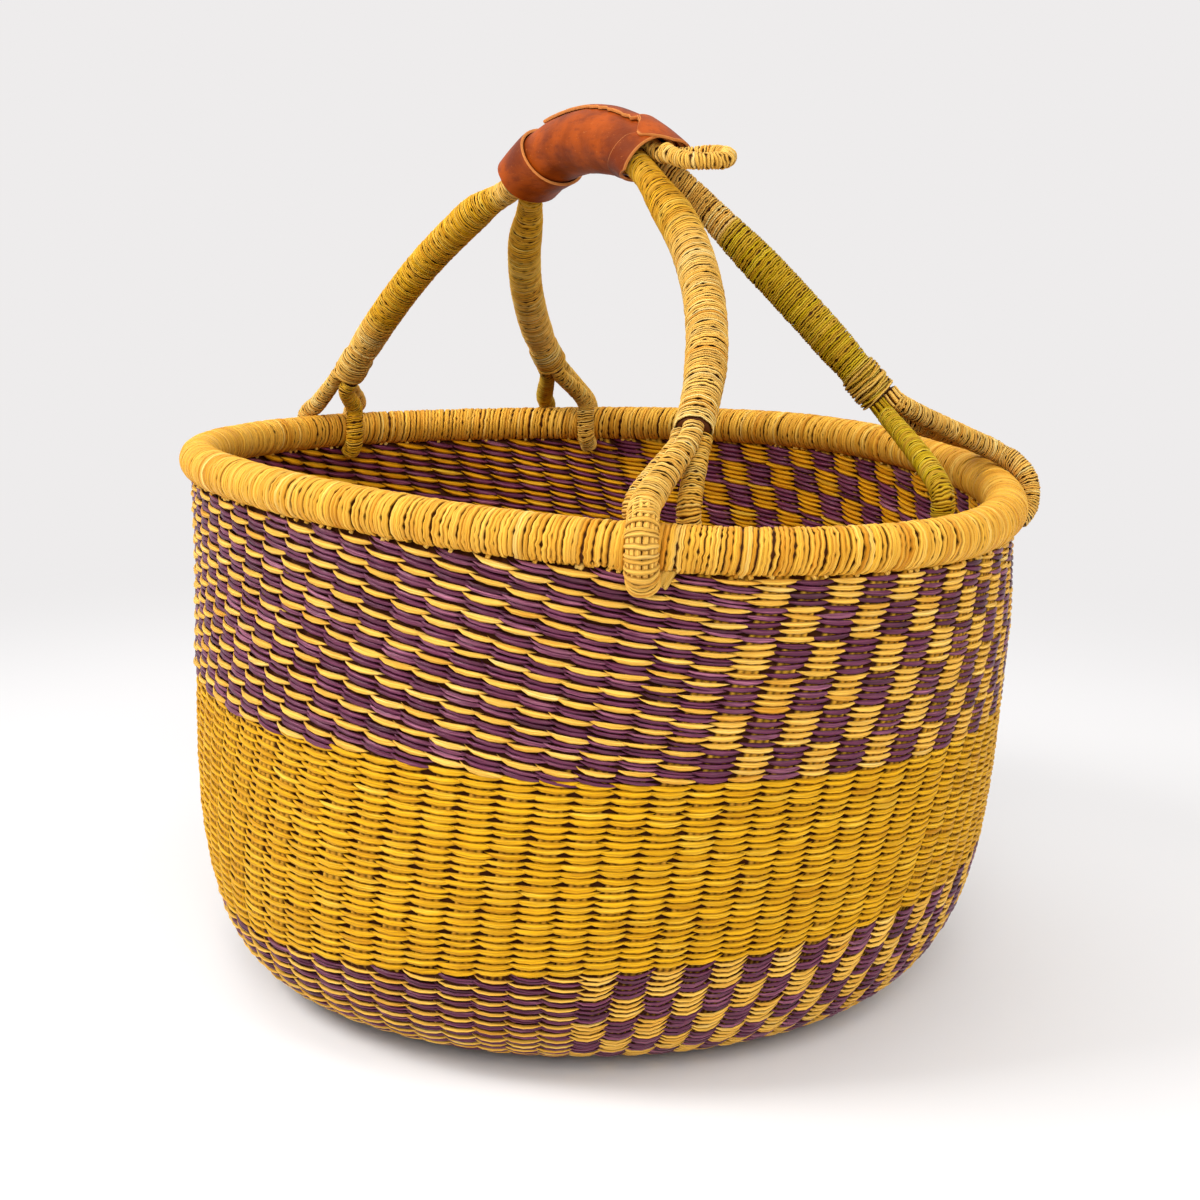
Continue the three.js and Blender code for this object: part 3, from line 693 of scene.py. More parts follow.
def laid(band, inside, color, in_block, places):
    """Stitches of one colour in one field. Outside the blocks they turn into short commas towards
    the left of the photographed side, and on the outer face the plum ones are double."""
    columns, rows, pitch = places[:, 0], places[:, 1], places[:, 2]
    height = pitch * BAND_LENGTH[band] * band_height(band, columns)
    rows = rows + pitch * 0.05 * rng.standard_normal(len(rows))
    form = PLAIN
    if band == "middle":
        around = facing(columns, 0.5)
        left = (1 - smooth(around, 250, 296)) * smooth(around, 110, 170)
        form = blended({**form, **MIDDLE}, MIDDLE_RIGHT, smooth(facing(columns, 0.4), 240, 330))
        form = blended(form, MIDDLE_LEFT, left)
    if band == "lower":
        form = {**form, **LOWER}
    if inside and in_block:
        form = {**form, **INNER_BLOCK}
    if band == "middle" or in_block:
        return stitches(rows, columns, height, band, inside, form)
    around = facing(columns, 0.8)
    left = 1 - smooth(around, 262, 300)
    form = blended({**form, **STRIPED}, STRIPED_RIGHT, smooth(around, 318, 336))
    form = blended(form, STRIPED_LEFT, left)
    if inside:
        return stitches(rows, columns, height, band, inside, {**form, **INNER_STRIPED})
    if color == "natural":
        return stitches(rows, columns, height, band, inside, {**form, **SINGLE})
    strands = []
    for place, stand in STRANDS:
        slope = form["slope"] + mix(STRAND_SLOPE, STRAND_SLOPE_LEFT, left)
        strand = {**form, **STRAND, "stand": stand, "slope": slope}
        offset = place * height + 0.15 * rng.standard_normal(len(rows))
        strands.append(stitches(rows, columns, height, band, inside, strand, offset))
    return joined(strands)


def places_of(band, inside):
    """Columns, heights and pitches of a band's stitches, by colour and field."""
    fields = {}
    for column in range(FIRST_COLUMN, FIRST_COLUMN + STAKES):
        count, in_block = row_count(band, column)
        for row in range(int(count + 0.5)):
            key = (color_of(band, column, row, in_block, inside), in_block)
            fields.setdefault(key, []).append((column, 1 - (row + 0.5) / count, 1.0 / count))
    return fields


def weave():
    """All stitches of the wall, by band, side and colour."""
    outer = {"natural": natural_straw, "plum": plum_straw, "mustard": mustard_straw}
    inner = {"natural": inner_straw, "plum": inner_plum, "mustard": mustard_straw}
    for band in BANDS:
        for side, inside, finishes in (("outer", False, outer), ("inner", True, inner)):
            fields = places_of(band, inside)
            for color in sorted({key[0] for key in fields}):
                keys = [key for key in sorted(fields) if key[0] == color]
                parts = [laid(band, inside, color, key[1], np.array(fields[key])) for key in keys]
                points, grain, shade = joined(parts)
                extra = {"tone": tones(len(points), 0.5, TONE_SPREAD[color]), "shade": shade}
                pattern = INNER_LEAF if inside else LEAF
                piece = copies(f"{band}_{side}_{color}", pattern, points, grain, extra)
                replaced = () if inside or color == "natural" else (f"{band}_band",)
                dressed(piece, finishes[color], replaced)


def closed_rings(rings, is_ring):
    """Quads between rings of points (rings, sides, 3). The ends are capped unless they meet."""
    count, sides = rings.shape[:2]
    ring, side = np.meshgrid(np.arange(count if is_ring else count - 1), np.arange(sides), indexing="ij")
    here, ahead, beside = ring * sides, (ring + 1) % count * sides, (side + 1) % sides
    quads = np.stack([here + side, ahead + side, ahead + beside, here + beside], -1)
    totals = [4] * (quads.size // 4)
    corners = quads.ravel().tolist()
    if not is_ring:
        last = (count - 1) * sides
        totals += [sides, sides]
        corners += [*range(sides), *range(last + sides - 1, last - 1, -1)]
    return rings.reshape(-1, 3), np.array(totals), np.array(corners)


def face_outwards(piece):
    deselect()
    piece.select_set(True)
    bpy.context.view_layer.objects.active = piece
    edit_all()
    bpy.ops.mesh.normals_make_consistent(inside=False)
    bpy.ops.object.mode_set(mode="OBJECT")


INTO_ROLL = 0.016  # share of the height that the stakes run up into the roll
STAKE_DETAIL, STAKE_LEVELS, LEVEL_POWER = 9, 42, 2.6
BUNDLE_STAND, BUNDLE_STAND_SHOWN, STRAW_STAND = 1.0, 1.7, 0.25
# Painted shade on the stakes: share of their brightness kept in the striped fields and in the lower band.
STAKE_PAINTED_LIGHT_STRIPED, STAKE_PAINTED_LIGHT_LOWER = 0.3, 0.6


def stakes():
    """The stakes, bundles of four straws, as one ribbed closed wall behind the stitches. Between the
    bundles the wall is a dark sheet that stands in for shade, and the wall is painted darker in the
    grooves between straws and in some fields.
    """
    columns = np.arange(STAKES * STAKE_DETAIL) / STAKE_DETAIL
    levels = np.linspace(0, 1, STAKE_LEVELS) ** LEVEL_POWER
    column, level = np.meshgrid(columns, levels, indexing="ij")
    share = (top_edge(stake_angle(column, 0.9)) + INTO_ROLL) * level
    angle = stake_angle(column, share)
    point, out, _ = wall_frame(angle, share)
    from_stake = np.abs((column + 0.5) % 1 - 0.5) * 2
    in_bundle = 1 - smooth(from_stake, 0.45, 0.75)
    rib = np.cos((column % 1) * 4 * TURN) * in_bundle
    in_lower = share < lower_edge(angle)
    in_blocks = np.mod(column - FIRST_COLUMN, STAKES) < BLOCK_LAST - FIRST_COLUMN + 1
    striped = ~in_blocks & (in_lower | (share > middle_edge(angle)))
    bundled = np.where(striped | in_lower, BUNDLE_STAND, BUNDLE_STAND_SHOWN)
    stand = 0.1 + bundled * in_bundle + STRAW_STAND * rib
    stand = (stand * mix(0.35, 1.0, smooth(share, FLAT, UPRIGHT)))[..., None]
    # Painted shade: darker in the grooves between straws, dark between the bundles, and dimmer in the striped
    # fields and the lower band.
    painted_light = np.where(striped, STAKE_PAINTED_LIGHT_STRIPED, np.where(in_lower, STAKE_PAINTED_LIGHT_LOWER, 1.0))
    tone = in_bundle * (0.75 + 0.25 * rib) * painted_light
    rings = np.concatenate([point + out * stand, (point - out * stand)[:, ::-1]], axis=1)
    rings[..., 2] = np.maximum(rings[..., 2], 0.4)
    tone = np.concatenate([tone, tone[:, ::-1]], axis=1).ravel()
    piece = piece_of("stakes", *closed_rings(rings, True), {"tone": tone})
    face_outwards(piece)
    dressed(piece, stake_straw)


def stubs(name, start, ahead, side, sizes, grain_scale, tone_spread):
    """Short cut ends of straw. Sizes are the length, width and depth of each."""
    stub = STUB["points"][None]
    length, wide, high = (stub[..., i] * size for i, size in enumerate(sizes))
    top = np.cross(side, ahead)
    points = start[:, None] + ahead[:, None] * length[..., None]
    points = points + side[:, None] * wide[..., None] + top[:, None] * high[..., None]
    count = len(start)
    grain = own_grain(np.broadcast_to(stub * grain_scale, points.shape))
    tone = np.clip(0.6 + tone_spread * rng.standard_normal(count), 0, 1)
    piece = copies(name, STUB, points, grain, {"tone": tone, "shade": np.zeros(count)})
    dressed(piece, natural_straw)


def stake_ends():
    """Cut ends of the stakes that look out from under the roll, on both faces of the wall."""
    columns = np.concatenate([np.arange(STAKES) + d for d in (-0.14, 0.04, 0.2)])
    for name, way in (("stake_ends_outer", 1.0), ("stake_ends_inner", -1.0)):
        column = columns[rng.uniform(0, 1, len(columns)) < 0.55]
        count = len(column)
        share = top_edge(stake_angle(column, 0.95))
        point, out, rise = wall_frame(stake_angle(column, share), share)
        length = 2.4 + 0.8 * rng.uniform(0, 1, (count, 1))
        start = point + out * way * 1.8 + rise * 2.0
        lean = np.cross(rise, out) * rng.uniform(-0.5, 0.5, (count, 1))
        ahead = unit(out * way * 0.55 - rise * 0.8 + lean)
        side = unit(np.cross(ahead, rise))
        wide = 0.85 + 0.25 * rng.uniform(0, 1, (count, 1))
        stubs(name, start, ahead, side, (length, wide, wide), 4, 0.2)


RING_STEP, RING_LEAST, RING_SPIN = 2.9, 5, 0.3
# Radius, and the number of stitches in a ring beyond it
RING_COUNTS = ((62, 78), (40, 52), (22, 32), (12, 16), (0, 9))
BASE_MIDDLE = WALL / 2


def base_rings():
    """Radius, number of stitches and turn of each ring of the flat underside."""
    radius = BASE - 1.5
    while radius > RING_LEAST:
        count = next(n for beyond, n in RING_COUNTS if radius > beyond)
        yield radius, count, float(lean_turn(np.array(0.0))) + RING_SPIN * (radius / BASE - 1)
        radius -= RING_STEP


def base_ring(radius, count, spin, way):
    leaf = BASE_LEAF["points"][None]
    place, wide, deep = leaf[..., 0], leaf[..., 1], leaf[..., 2]
    angle = (np.arange(count)[:, None] + 0.6 * place * way) / count * TURN + spin
    bulge = 1.2 * np.cos(0.48 * math.pi * place) + uneven(count, 0.2)
    wide = wide * 1.15 * (1 + uneven(count, 0.08))
    reach = radius + wide + 0.3 * place
    thick = deep * 0.6
    z = np.maximum(BASE_MIDDLE - way * (0.7 + 0.8 * bulge + thick), 0.0)
    points = np.stack([reach * np.cos(angle), reach * np.sin(angle), z], -1)
    grain = np.stack([place * 8 + 0 * reach, wide, thick + 0 * reach], -1)
    # Painted shade: darker towards the tucked ends of each stitch.
    shade = 0.3 * np.abs(place) ** 3 + 0 * reach
    return points, own_grain(grain), shade


def base():
    """The flat round underside, woven in rings that lose stitches towards the middle."""
    for name, way, replaced in (("base_outer", 1.0, ("base_weave",)), ("base_inner", -1.0, ())):
        points, grain, shade = joined([base_ring(*ring, way) for ring in base_rings()])
        extra = {"tone": tones(len(points), 0.45, 0.2), "shade": shade}
        dressed(copies(name, BASE_LEAF, points, grain, extra), natural_straw, replaced)
    deselect()
    radius, depth, middle = (BASE - 0.6) * MM, 1.6 * MM, (0, 0, BASE_MIDDLE * MM)
    bpy.ops.mesh.primitive_cylinder_add(vertices=STAKES, radius=radius, depth=depth, location=middle)
    disc = bpy.context.object
    disc.name = "base_stakes"
    bpy.ops.object.transform_apply(location=True)
    edit_all()
    bpy.ops.mesh.inset(thickness=6 * MM)
    bpy.ops.object.mode_set(mode="OBJECT")
    add_attribute(disc.data, "tone", np.full(len(disc.data.vertices), 0.5))
    dressed(disc, stake_straw)


weave()
stakes()
stake_ends()
base()


# Lines
def smooth_line(points, count):
    """Evenly spaced points on a smooth line through the given ones, as in the part."""
    p = [np.asarray(q, float) for q in points]
    p = [2 * p[0] - p[1], *p, 2 * p[-1] - p[-2]]
    line = []
    for i in range(1, len(p) - 2):
        p0, p1, p2, p3 = p[i - 1 : i + 3]
        d0, d1, d2 = (max(np.linalg.norm(b - a), 1e-4) ** 0.5 for a, b in ((p0, p1), (p1, p2), (p2, p3)))
        t1 = ((p1 - p0) / d0 - (p2 - p0) / (d0 + d1) + (p2 - p1) / d1) * d1
        t2 = ((p2 - p1) / d1 - (p3 - p1) / (d1 + d2) + (p3 - p2) / d2) * d1
        for t in np.linspace(0, 1, 40, endpoint=False):
            a, b = t * t, t * t * t
            near, far = 2 * b - 3 * a + 1, 3 * a - 2 * b
            line.append(near * p1 + (b - 2 * a + t) * t1 + far * p2 + (b - a) * t2)
    line.append(p[-2])
    line = np.array(line)
    length = np.concatenate([[0], np.cumsum(np.linalg.norm(np.diff(line, axis=0), axis=1))])
    even = np.linspace(0, length[-1], count + 1)
    return np.stack([np.interp(even, length, line[:, k]) for k in range(3)], -1)


class Track:
    """A line with directions square to it, looked up by length."""

    def __init__(self, points, side=None, top=None):
        self.points = np.asarray(points, float)
        steps = np.linalg.norm(np.diff(self.points, axis=0), axis=1)
        self.length = np.concatenate([[0], np.cumsum(steps)])
        self.end = self.length[-1]
        self.ahead = unit(np.gradient(self.points, axis=0))
        self.side, self.top = (self.carried() if side is None else (side, top))

    def carried(self):
        """Directions carried along the line from its start without a twist."""
        side = np.zeros_like(self.ahead)
        now = np.cross(UP, self.ahead[0])
        if np.linalg.norm(now) < 0.1:
            now = np.array([1.0, 0, 0])
        for i, ahead in enumerate(self.ahead):
            now = now - ahead * np.dot(now, ahead)
            now = now / np.linalg.norm(now)
            side[i] = now
        return side, np.cross(self.ahead, side)

    def at(self, where, what):
        values = getattr(self, what)
        return np.stack([np.interp(where, self.length, values[:, k]) for k in range(3)], -1)

    def outward(self, where, angle):
        """Direction away from the line, at a turn round it."""
        side, top = self.at(where, "side"), self.at(where, "top")
        return side * np.cos(angle)[..., None] + top * np.sin(angle)[..., None]

    def facing(self, where, toward):
        """Turn round the line, at a place, that looks towards a direction."""
        return np.arctan2(self.at(where, "top") @ toward, self.at(where, "side") @ toward)


def even(size):
    """The same radius all along a line."""
    return lambda where: np.full(np.shape(where), size)


# Wraps
def turn_pattern(name, stations, sides):
    """A straw that will go once round a line, thin at both ends."""
    places = np.linspace(0, 1, stations)
    ends = np.minimum(1, np.minimum(places, 1 - places) * stations * 0.8 + 0.3)
    return straw_pattern(name, sides, [(p, e, e) for p, e in zip(places, ends)])


THICKNESS = 0.42  # of a wrapping straw, against its width
LAP = 1.05  # turns that each straw goes round
RIM_TURN = turn_pattern("rim_turn", 34, 6)
HOOP_TURN = turn_pattern("hoop_turn", 35, 4)
STEM_TURN = turn_pattern("stem_turn", 24, 4)
VIEW = unit(np.array([0.73, -0.65, 0.2]))  # towards the camera
# The bars under the wraps are straw kept dark, as painted shade for the slits that show them.
CORE_SHADED_TONE, BUNDLE_TONE = 0.25, 0.45
CORE_INSET = 0.95  # how far the bar lies inside the wrap of a hoop or a stem

# Kinds of wrap. Step is how far a straw moves on from end to end. Spots slits open round the line
# between two groups of straws, pull wide and spot radians long. Lift and tilt make it uneven.
# Dark is the painted shade along the sides of each straw.
RIM_WRAP = dict(width=1.95, step=7.0, pull=0.5, spots=12, spot=0.11, lift=0.4, tilt=0.14, tone=0.38, dark=0.3)
HOOP_WRAP = dict(width=1.02, step=3.0, pull=0.45, spots=9, spot=0.13, tone=0.58, dark=0.34)
STEM_WRAP = dict(width=1.0, step=3.4, pull=0.45, spots=6, spot=0.2, tone=0.58, dark=0.42)
TIE_WRAP = dict(width=1.5, step=0.6, pull=0.25, spots=3, spot=0.3, lift=0.3)
COLLAR_WRAP = dict(width=1.3, step=4.0, lift=0.5)
LOOP_WRAP = dict(width=1.34, step=2.5, pull=0.5, spots=4, spot=0.3, lift=0.25, tilt=0.25)


def grouped(first, last, step, group):
    """Places of straws laid side by side in groups, with the group each belongs to."""
    count = max(int((last - first) / step), group)
    places = np.linspace(first, last, count)
    places = places + 0.05 * step * rng.standard_normal(count)
    return places, np.arange(count) // group, (np.arange(count) % group + 1) / group


def slits(angle, group, share, pull, spots, spot):
    """How far the straws move aside for the slits, and how far a slit opens beside them."""
    edges = group.max() + 2
    apart = TURN / spots
    around = (np.arange(spots)[None, :] + 0.5 * (np.arange(edges)[:, None] % 2)) * apart
    around = around + apart * rng.uniform(-0.28, 0.28, (edges, spots))
    strength = pull * rng.uniform(0.35, 1.15, (edges, spots))
    strength = strength * (rng.uniform(0, 1, (edges, spots)) < 0.85)
    first_share = 1.0 / max(np.count_nonzero(group == 0), 1)
    shift = np.zeros_like(angle)
    opened = np.zeros_like(angle)
    for edge, weight in ((group, 1 - share + first_share), (group + 1, -share)):
        for s in range(spots):
            away = np.angle(np.exp(1j * (angle - around[edge, s][:, None])))
            slit = strength[edge, s][:, None] * np.exp(-((away / spot) ** 2))
            shift += weight[:, None] * slit
            opened += (np.abs(weight) > 0.6)[:, None] * slit
    return shift, opened


def wrap(name, track, radius, laid_out, pattern, finish, slot, replaced=(), *, dye, width, step, pull=0.3,
         spots=6, spot=0.17, lift=0.22, tilt=0.06, arch=0.0, toward=VIEW, tone=0.5, dark=0.5):
    """Close turns of straw round a line. Their ends lie on the side away from toward, and dye is a
    share for all of them or a function of the place along the line."""
    starts, group, share = laid_out
    straw = pattern["points"][None]
    place, flat, deep = straw[..., 0], straw[..., 1], straw[..., 2]
    count = len(starts)
    faced = track.facing(starts, toward)[:, None]
    angle = faced + math.pi + rng.uniform(-0.45, 0.45, (count, 1)) + place * TURN * LAP
    shift, opened = slits(angle, group, share, pull, spots, spot)
    wave = rng.uniform(0, TURN, (count, 1))
    drift = tilt * np.sin(angle + wave) + 0.5 * tilt * np.sin(2 * angle + 1.7 * wave)
    climb = np.sign(track.at(starts, "ahead")[:, 2])[:, None]
    arched = climb * arch * np.cos(angle - faced)
    where = starts[:, None] + step * (place - 0.5) + drift + shift + arched
    across = flat * 0.5 * width * (1 + uneven(count, 0.1))
    thick = deep * THICKNESS * width
    tucked = 0.5 * smooth(np.abs(place - 0.5), 0.44, 0.5)
    rise = lift * rng.uniform(0, 1, (count, 1)) + 0.08 * np.sin(3 * angle + wave) - tucked
    reach = radius(where) + rise + thick - THICKNESS * width

    def surface(at):
        return track.at(at, "points") + track.outward(at, angle) * reach[..., None]

    # On the outside of a bend the straws spread, and on the inside they crowd.
    spread = np.linalg.norm(surface(where + 0.7) - surface(where - 0.7), axis=-1) / 1.4
    across = across * np.clip(spread, 0.6, 1.8)
    points = surface(where) + track.at(where, "ahead") * across[..., None]
    grain = own_grain(np.stack([place * TURN * radius(where), across, thick + 0 * across], -1))
    # Painted shade: dark along the sides of each straw, darker beside an open slit, and under the straw.
    beside = np.clip(np.abs(flat) - np.abs(deep), 0, 1)
    shade = (dark + 1.2 * opened) * beside + 0.6 * (deep < -0.3)
    extra = {"tone": tones(count, tone, 0.2), "shade": np.clip(shade, 0, 1)}
    dyed = dye(starts) if callable(dye) else dye
    extra["dye"] = np.clip(dyed + 0.1 * rng.standard_normal(count), 0, 1)
    piece = copies(name, pattern, points, grain, extra)
    return dressed(piece, finish, replaced)


def core(name, track, radius, sides, is_ring=False):
    """Straw bar under a wrap."""
    turns = np.arange(sides) / sides * TURN
    reach = radius(track.length)[:, None]
    rings = (
        track.points[:, None]
        + track.side[:, None] * (reach * np.cos(turns))[..., None]
        + track.top[:, None] * (reach * np.sin(turns))[..., None]
    )
    points, totals, corners = closed_rings(rings, is_ring)
    piece = piece_of(name, points, totals, corners, {"tone": np.full(len(points), CORE_SHADED_TONE)})
    face_outwards(piece)
    return dressed(piece, stake_straw)


def bundle(name, track, radius, turns, first, last, width, finish, dye=0.0):
    """Straws that run along a line, seen where no wrap covers them."""
    straw = STEM_TURN["points"][None]
    turns = np.asarray(turns, float)[:, None]
    count = len(turns)
    where = mix(first, last, straw[..., 0]) + 0 * turns
    angle = turns + 0.03 * np.sin(straw[..., 0] * 5 + turns * 3)
    thick = straw[..., 2] * 0.3 * width + 0 * where
    across = straw[..., 1] * 0.5 * width + 0 * where
    points = track.at(where, "points") + track.outward(where, angle) * (radius(where) + thick)[..., None]
    points = points + track.outward(where, angle + TURN / 4) * across[..., None]
    grain = own_grain(np.stack([where, across, thick], -1))
    tone = np.clip(BUNDLE_TONE + 0.15 * rng.standard_normal(count), 0, 1)
    extra = {"tone": tone, "shade": np.zeros(count), "dye": np.full(count, dye)}
    return dressed(copies(name, STEM_TURN, points, grain, extra), finish)


RIM_PITCH, RIM_GROUP, RIM_CORE = 1.8, 2, ROLL - 1.25
RIM_STEPS, RIM_LEAD = 720, 20


def rim():
    """The wrapped roll: straws in pairs, in two lengths that meet at the ends of the oval."""
    point, _, out = rim_at(np.linspace(0, TURN, RIM_STEPS + 1))
    upright = np.broadcast_to(UP, out.shape)
    track = Track(point[:-1], out[:-1], upright[:-1])
    core("rim_core", track, even(RIM_CORE), 16, is_ring=True)
    for name, first in (("rim_wrap_back", 0), ("rim_wrap_front", RIM_STEPS // 2)):
        chosen = np.arange(first - RIM_LEAD, first + RIM_STEPS // 2 + RIM_LEAD + 1) % RIM_STEPS
        track = Track(point[chosen], out[chosen], upright[chosen])
        start, end = track.length[RIM_LEAD], track.length[-RIM_LEAD - 1]
        places = grouped(start + RIM_PITCH / 2, end - RIM_PITCH / 2, RIM_PITCH, RIM_GROUP)
        wrap(name, track, even(ROLL), places, RIM_TURN, rim_straw, "natural_straw", ("rim_roll",),
             toward=UP, dye=0.1, **RIM_WRAP)


rim()

# Grip and hoops, as in the part
GRIP_HEIGHT, GRIP_HALF, GRIP_YAW, GRIP_RISE, GRIP_TILT = 369.5, 54.5, math.radians(-10), 15.0, 3.6
HOOP, HOOP_CORE, BOUND = 8.0, 5.6, 7.3
SQUEEZE_END, SWELL_END, COLLAR_LENGTH = 1.12, 1.55, 15.0
STEM_TOP, STEM, BIG_STEM, STEM_DROP = 3.8, 4.6, 5.8, 3.0
GRIP_ALONG = np.array([math.cos(GRIP_YAW), math.sin(GRIP_YAW), 0])
GRIP_SIDE = np.cross(UP, GRIP_ALONG)
HOOP_OFFSET = HOOP_CORE + GAP / 2
SLEEVE_BORE = HOOP_OFFSET + HOOP_CORE + 3 * GAP
SLEEVE_THICK, CUFF_THICK = 1.5, 1.4
SLEEVE = SLEEVE_BORE + SLEEVE_THICK
CUFF_BORE = SLEEVE + 2 * GAP
LEGS = {
    "left": dict(end=-1, side=-1, turn=0, foot=177.7, inwards=24, along=9.5, rise=32,
                 bow_along=0, bow_up=11.5),
    "back": dict(end=-1, side=1, turn=40, foot=137, inwards=38, along=12, rise=36, bow_along=9.5, bow_up=0),
    "front": dict(end=1, side=-1, turn=0, foot=326, inwards=33, along=15.5, rise=38,
                  bow_along=14.5, bow_up=3),
    "right": dict(end=1, side=1, turn=60, foot=28, inwards=53.5, along=0, rise=42, bow_along=0, bow_up=3),
}
LEG_PLACES = (0.16, 0.3, 0.5, 0.7, 0.87, 1)
GRIP_PLACES = (-1.02, -0.85, -0.5, 0, 0.5, 0.85, 1.02)
UNDER_LEATHER = 0.85  # share of the grip where no wrap is needed
HOOP_PITCH, HOOP_GROUP = 1.0, 3


def grip_point(place, sideways=0.0, above=0.0):
    """A point by its place along the grip, from -1 to 1 over the squeezed hoops."""
    place = np.asarray(place, float)[..., None]
    sideways = np.asarray(sideways, float)[..., None]
    above = np.asarray(above, float)[..., None]
    slope = (GRIP_TILT - 2 * GRIP_RISE * place) / GRIP_HALF
    normal = unit(UP - GRIP_ALONG * slope)
    middle = UP * (GRIP_HEIGHT - GRIP_RISE * place**2 + GRIP_TILT * place)
    return middle + GRIP_ALONG * place * GRIP_HALF + GRIP_SIDE * sideways + normal * above


def leg_point(leg, t):
    foot, along, out = rim_at(math.radians(leg["foot"]))
    fork = foot - out * leg["inwards"] + along * leg["along"] + UP * leg["rise"]
    bow = 4 * t * (1 - t)
    point = mix(grip_point(leg["end"], leg["side"] * HOOP_OFFSET), fork, t)
    return point + along * leg["bow_along"] * bow + UP * leg["bow_up"] * bow


def leg_line(leg):
    points = [leg_point(leg, t) for t in LEG_PLACES]
    points[0] = points[0] + GRIP_SIDE * leg["side"] * 0.8
    return points


def fork_end(leg):
    end = leg_point(leg, 1)
    return end, unit(end - leg_point(leg, 0.97))


def front_dye(t):
    """Share of mustard along the front hoop, from its left foot to its front foot."""
    left = 0.95 * smooth(t, 0.07, 0.12) * (1 - smooth(t, 0.36, 0.38))
    right = 0.85 * (1 - smooth(t, 0.75, 0.8)) * smooth(t, 0.6, 0.64)
    return np.where(t < 0.5, left, right)


def back_dye(t):
    """Share of mustard on the back leg of the back hoop, and of olive on its right leg."""
    left = 0.8 * smooth(t, 0.05, 0.25)
    right = smooth(t, 0.755, 0.76) * (1 - 0.4 * smooth(t, 0.95, 1))
    return np.where(t < 0.5, left, right)


def hoop(name, first, second, slot, finishes, dye, arches):
    """A hoop's core with a wrap on each leg. Arches bow the turns of the two wraps."""
    middle = [grip_point(p, first["side"] * HOOP_OFFSET) for p in GRIP_PLACES]
    track = Track(smooth_line([*leg_line(first)[::-1], *middle, *leg_line(second)], 240))

    def radius(where):
        place = np.abs(track.at(where, "points") @ GRIP_ALONG) / GRIP_HALF
        from_end = np.minimum(where, track.end - where)
        wide = mix(HOOP_CORE, HOOP, smooth(place, SQUEEZE_END, SWELL_END))
        return mix(BOUND, wide, smooth(from_end, COLLAR_LENGTH, 2 * COLLAR_LENGTH)) + 0.1

    core(name + "_core", track, lambda w: radius(w) - CORE_INSET, 14)
    hidden = track.length[np.abs(track.points @ GRIP_ALONG / GRIP_HALF) < UNDER_LEATHER]
    ends = ((0.6, hidden.min()), (hidden.max(), track.end - 0.6))
    for i, half in enumerate("ab"):
        places = grouped(*ends[i], HOOP_PITCH, HOOP_GROUP)
        replaced = (name,) if half == "a" else ()
        wrap(f"{name}_wrap_{half}", track, radius, places, HOOP_TURN, finishes[i], slot, replaced,
             arch=arches[i], dye=lambda w: dye(w / track.end), **HOOP_WRAP)


LEFT, BACK, FRONT, RIGHT = (LEGS[leg] for leg in ("left", "back", "front", "right"))
hoop("hoop_front", LEFT, FRONT, "natural_straw", (wrap_mustard, wrap_mustard), front_dye, (1.0, 1.6))
hoop("hoop_back", BACK, RIGHT, "olive_straw", (wrap_mustard, wrap_olive), back_dye, (0.0, 1.0))

# Stems. Bends are degrees round the roll and shares of the reach from its middle.
OUTER_BENDS = ((80, 1.05), (50, 1.02), (18, 1.02), (-22, 1.02))
INNER_BENDS = ((42, 1.4), (20, 1.1), (-4, 1.02), (-28, 1.02))
STEM_PITCH, STEM_GROUP = 1.0, 3
TIE_STEP, TIE_PITCH, BANDS_LOW, BAND_LAST = 3.6, 1.3, 6.6, 2.2
TUFT_AT, TUFT_COUNT, TUFT_LENGTH = math.radians(328.6), 5, 6.5


def stem_line(leg, at, outer, turn, slant=0.0, radius=STEM):
    """The line of a stem, as in the part: at a turn of the fork, round the roll and down the wall."""
    end, ahead = fork_end(leg)
    _, foot_along, foot_out = rim_at(math.radians(leg["foot"]))
    across = unit(foot_out - ahead * np.dot(foot_out, ahead))
    beside = foot_along - ahead * np.dot(foot_along, ahead)
    beside = unit(beside - across * np.dot(beside, across))
    spread = 2 * (STEM_TOP + GAP) / math.sqrt(3)
    place = math.radians(turn + leg["turn"])
    start = end + ahead * GAP + across * spread * math.cos(place) + beside * spread * math.sin(place)
    way = 1 if outer else -1

    def seat(progress, sideways, above):
        point, _, out = rim_at(math.radians(at + slant * progress))
        return point + out * way * sideways + UP * above

    reach = ROLL + radius + GAP
    bends = []
    for i, (degrees, share) in enumerate(OUTER_BENDS if outer else INNER_BENDS):
        rise = math.radians(degrees)
        bends.append(seat(i / 4, share * reach * math.cos(rise), share * reach * math.sin(rise)))
    tip = seat(1, WALL / 2 + radius + GAP, -ROLL - STEM_DROP)
    line = smooth_line([start + ahead * 2, start + ahead * 6, *bends, tip], 70)
    return np.concatenate([[start], line])


def tie_places(first, last):
    """Separate ties of one or two straws below the opening of a wrap, then two bands of three."""
    low = last - BANDS_LOW
    single = np.arange(first + 2.4, low - 2.6, TIE_STEP)
    ties = []
    for i, spot in enumerate([*single, low, last - BAND_LAST]):
        straws = 3 if i >= len(single) else 2 if i % 2 else 1
        ties += [spot + TIE_PITCH * (k - (straws - 1) / 2) for k in range(straws)]
    return np.array(ties)


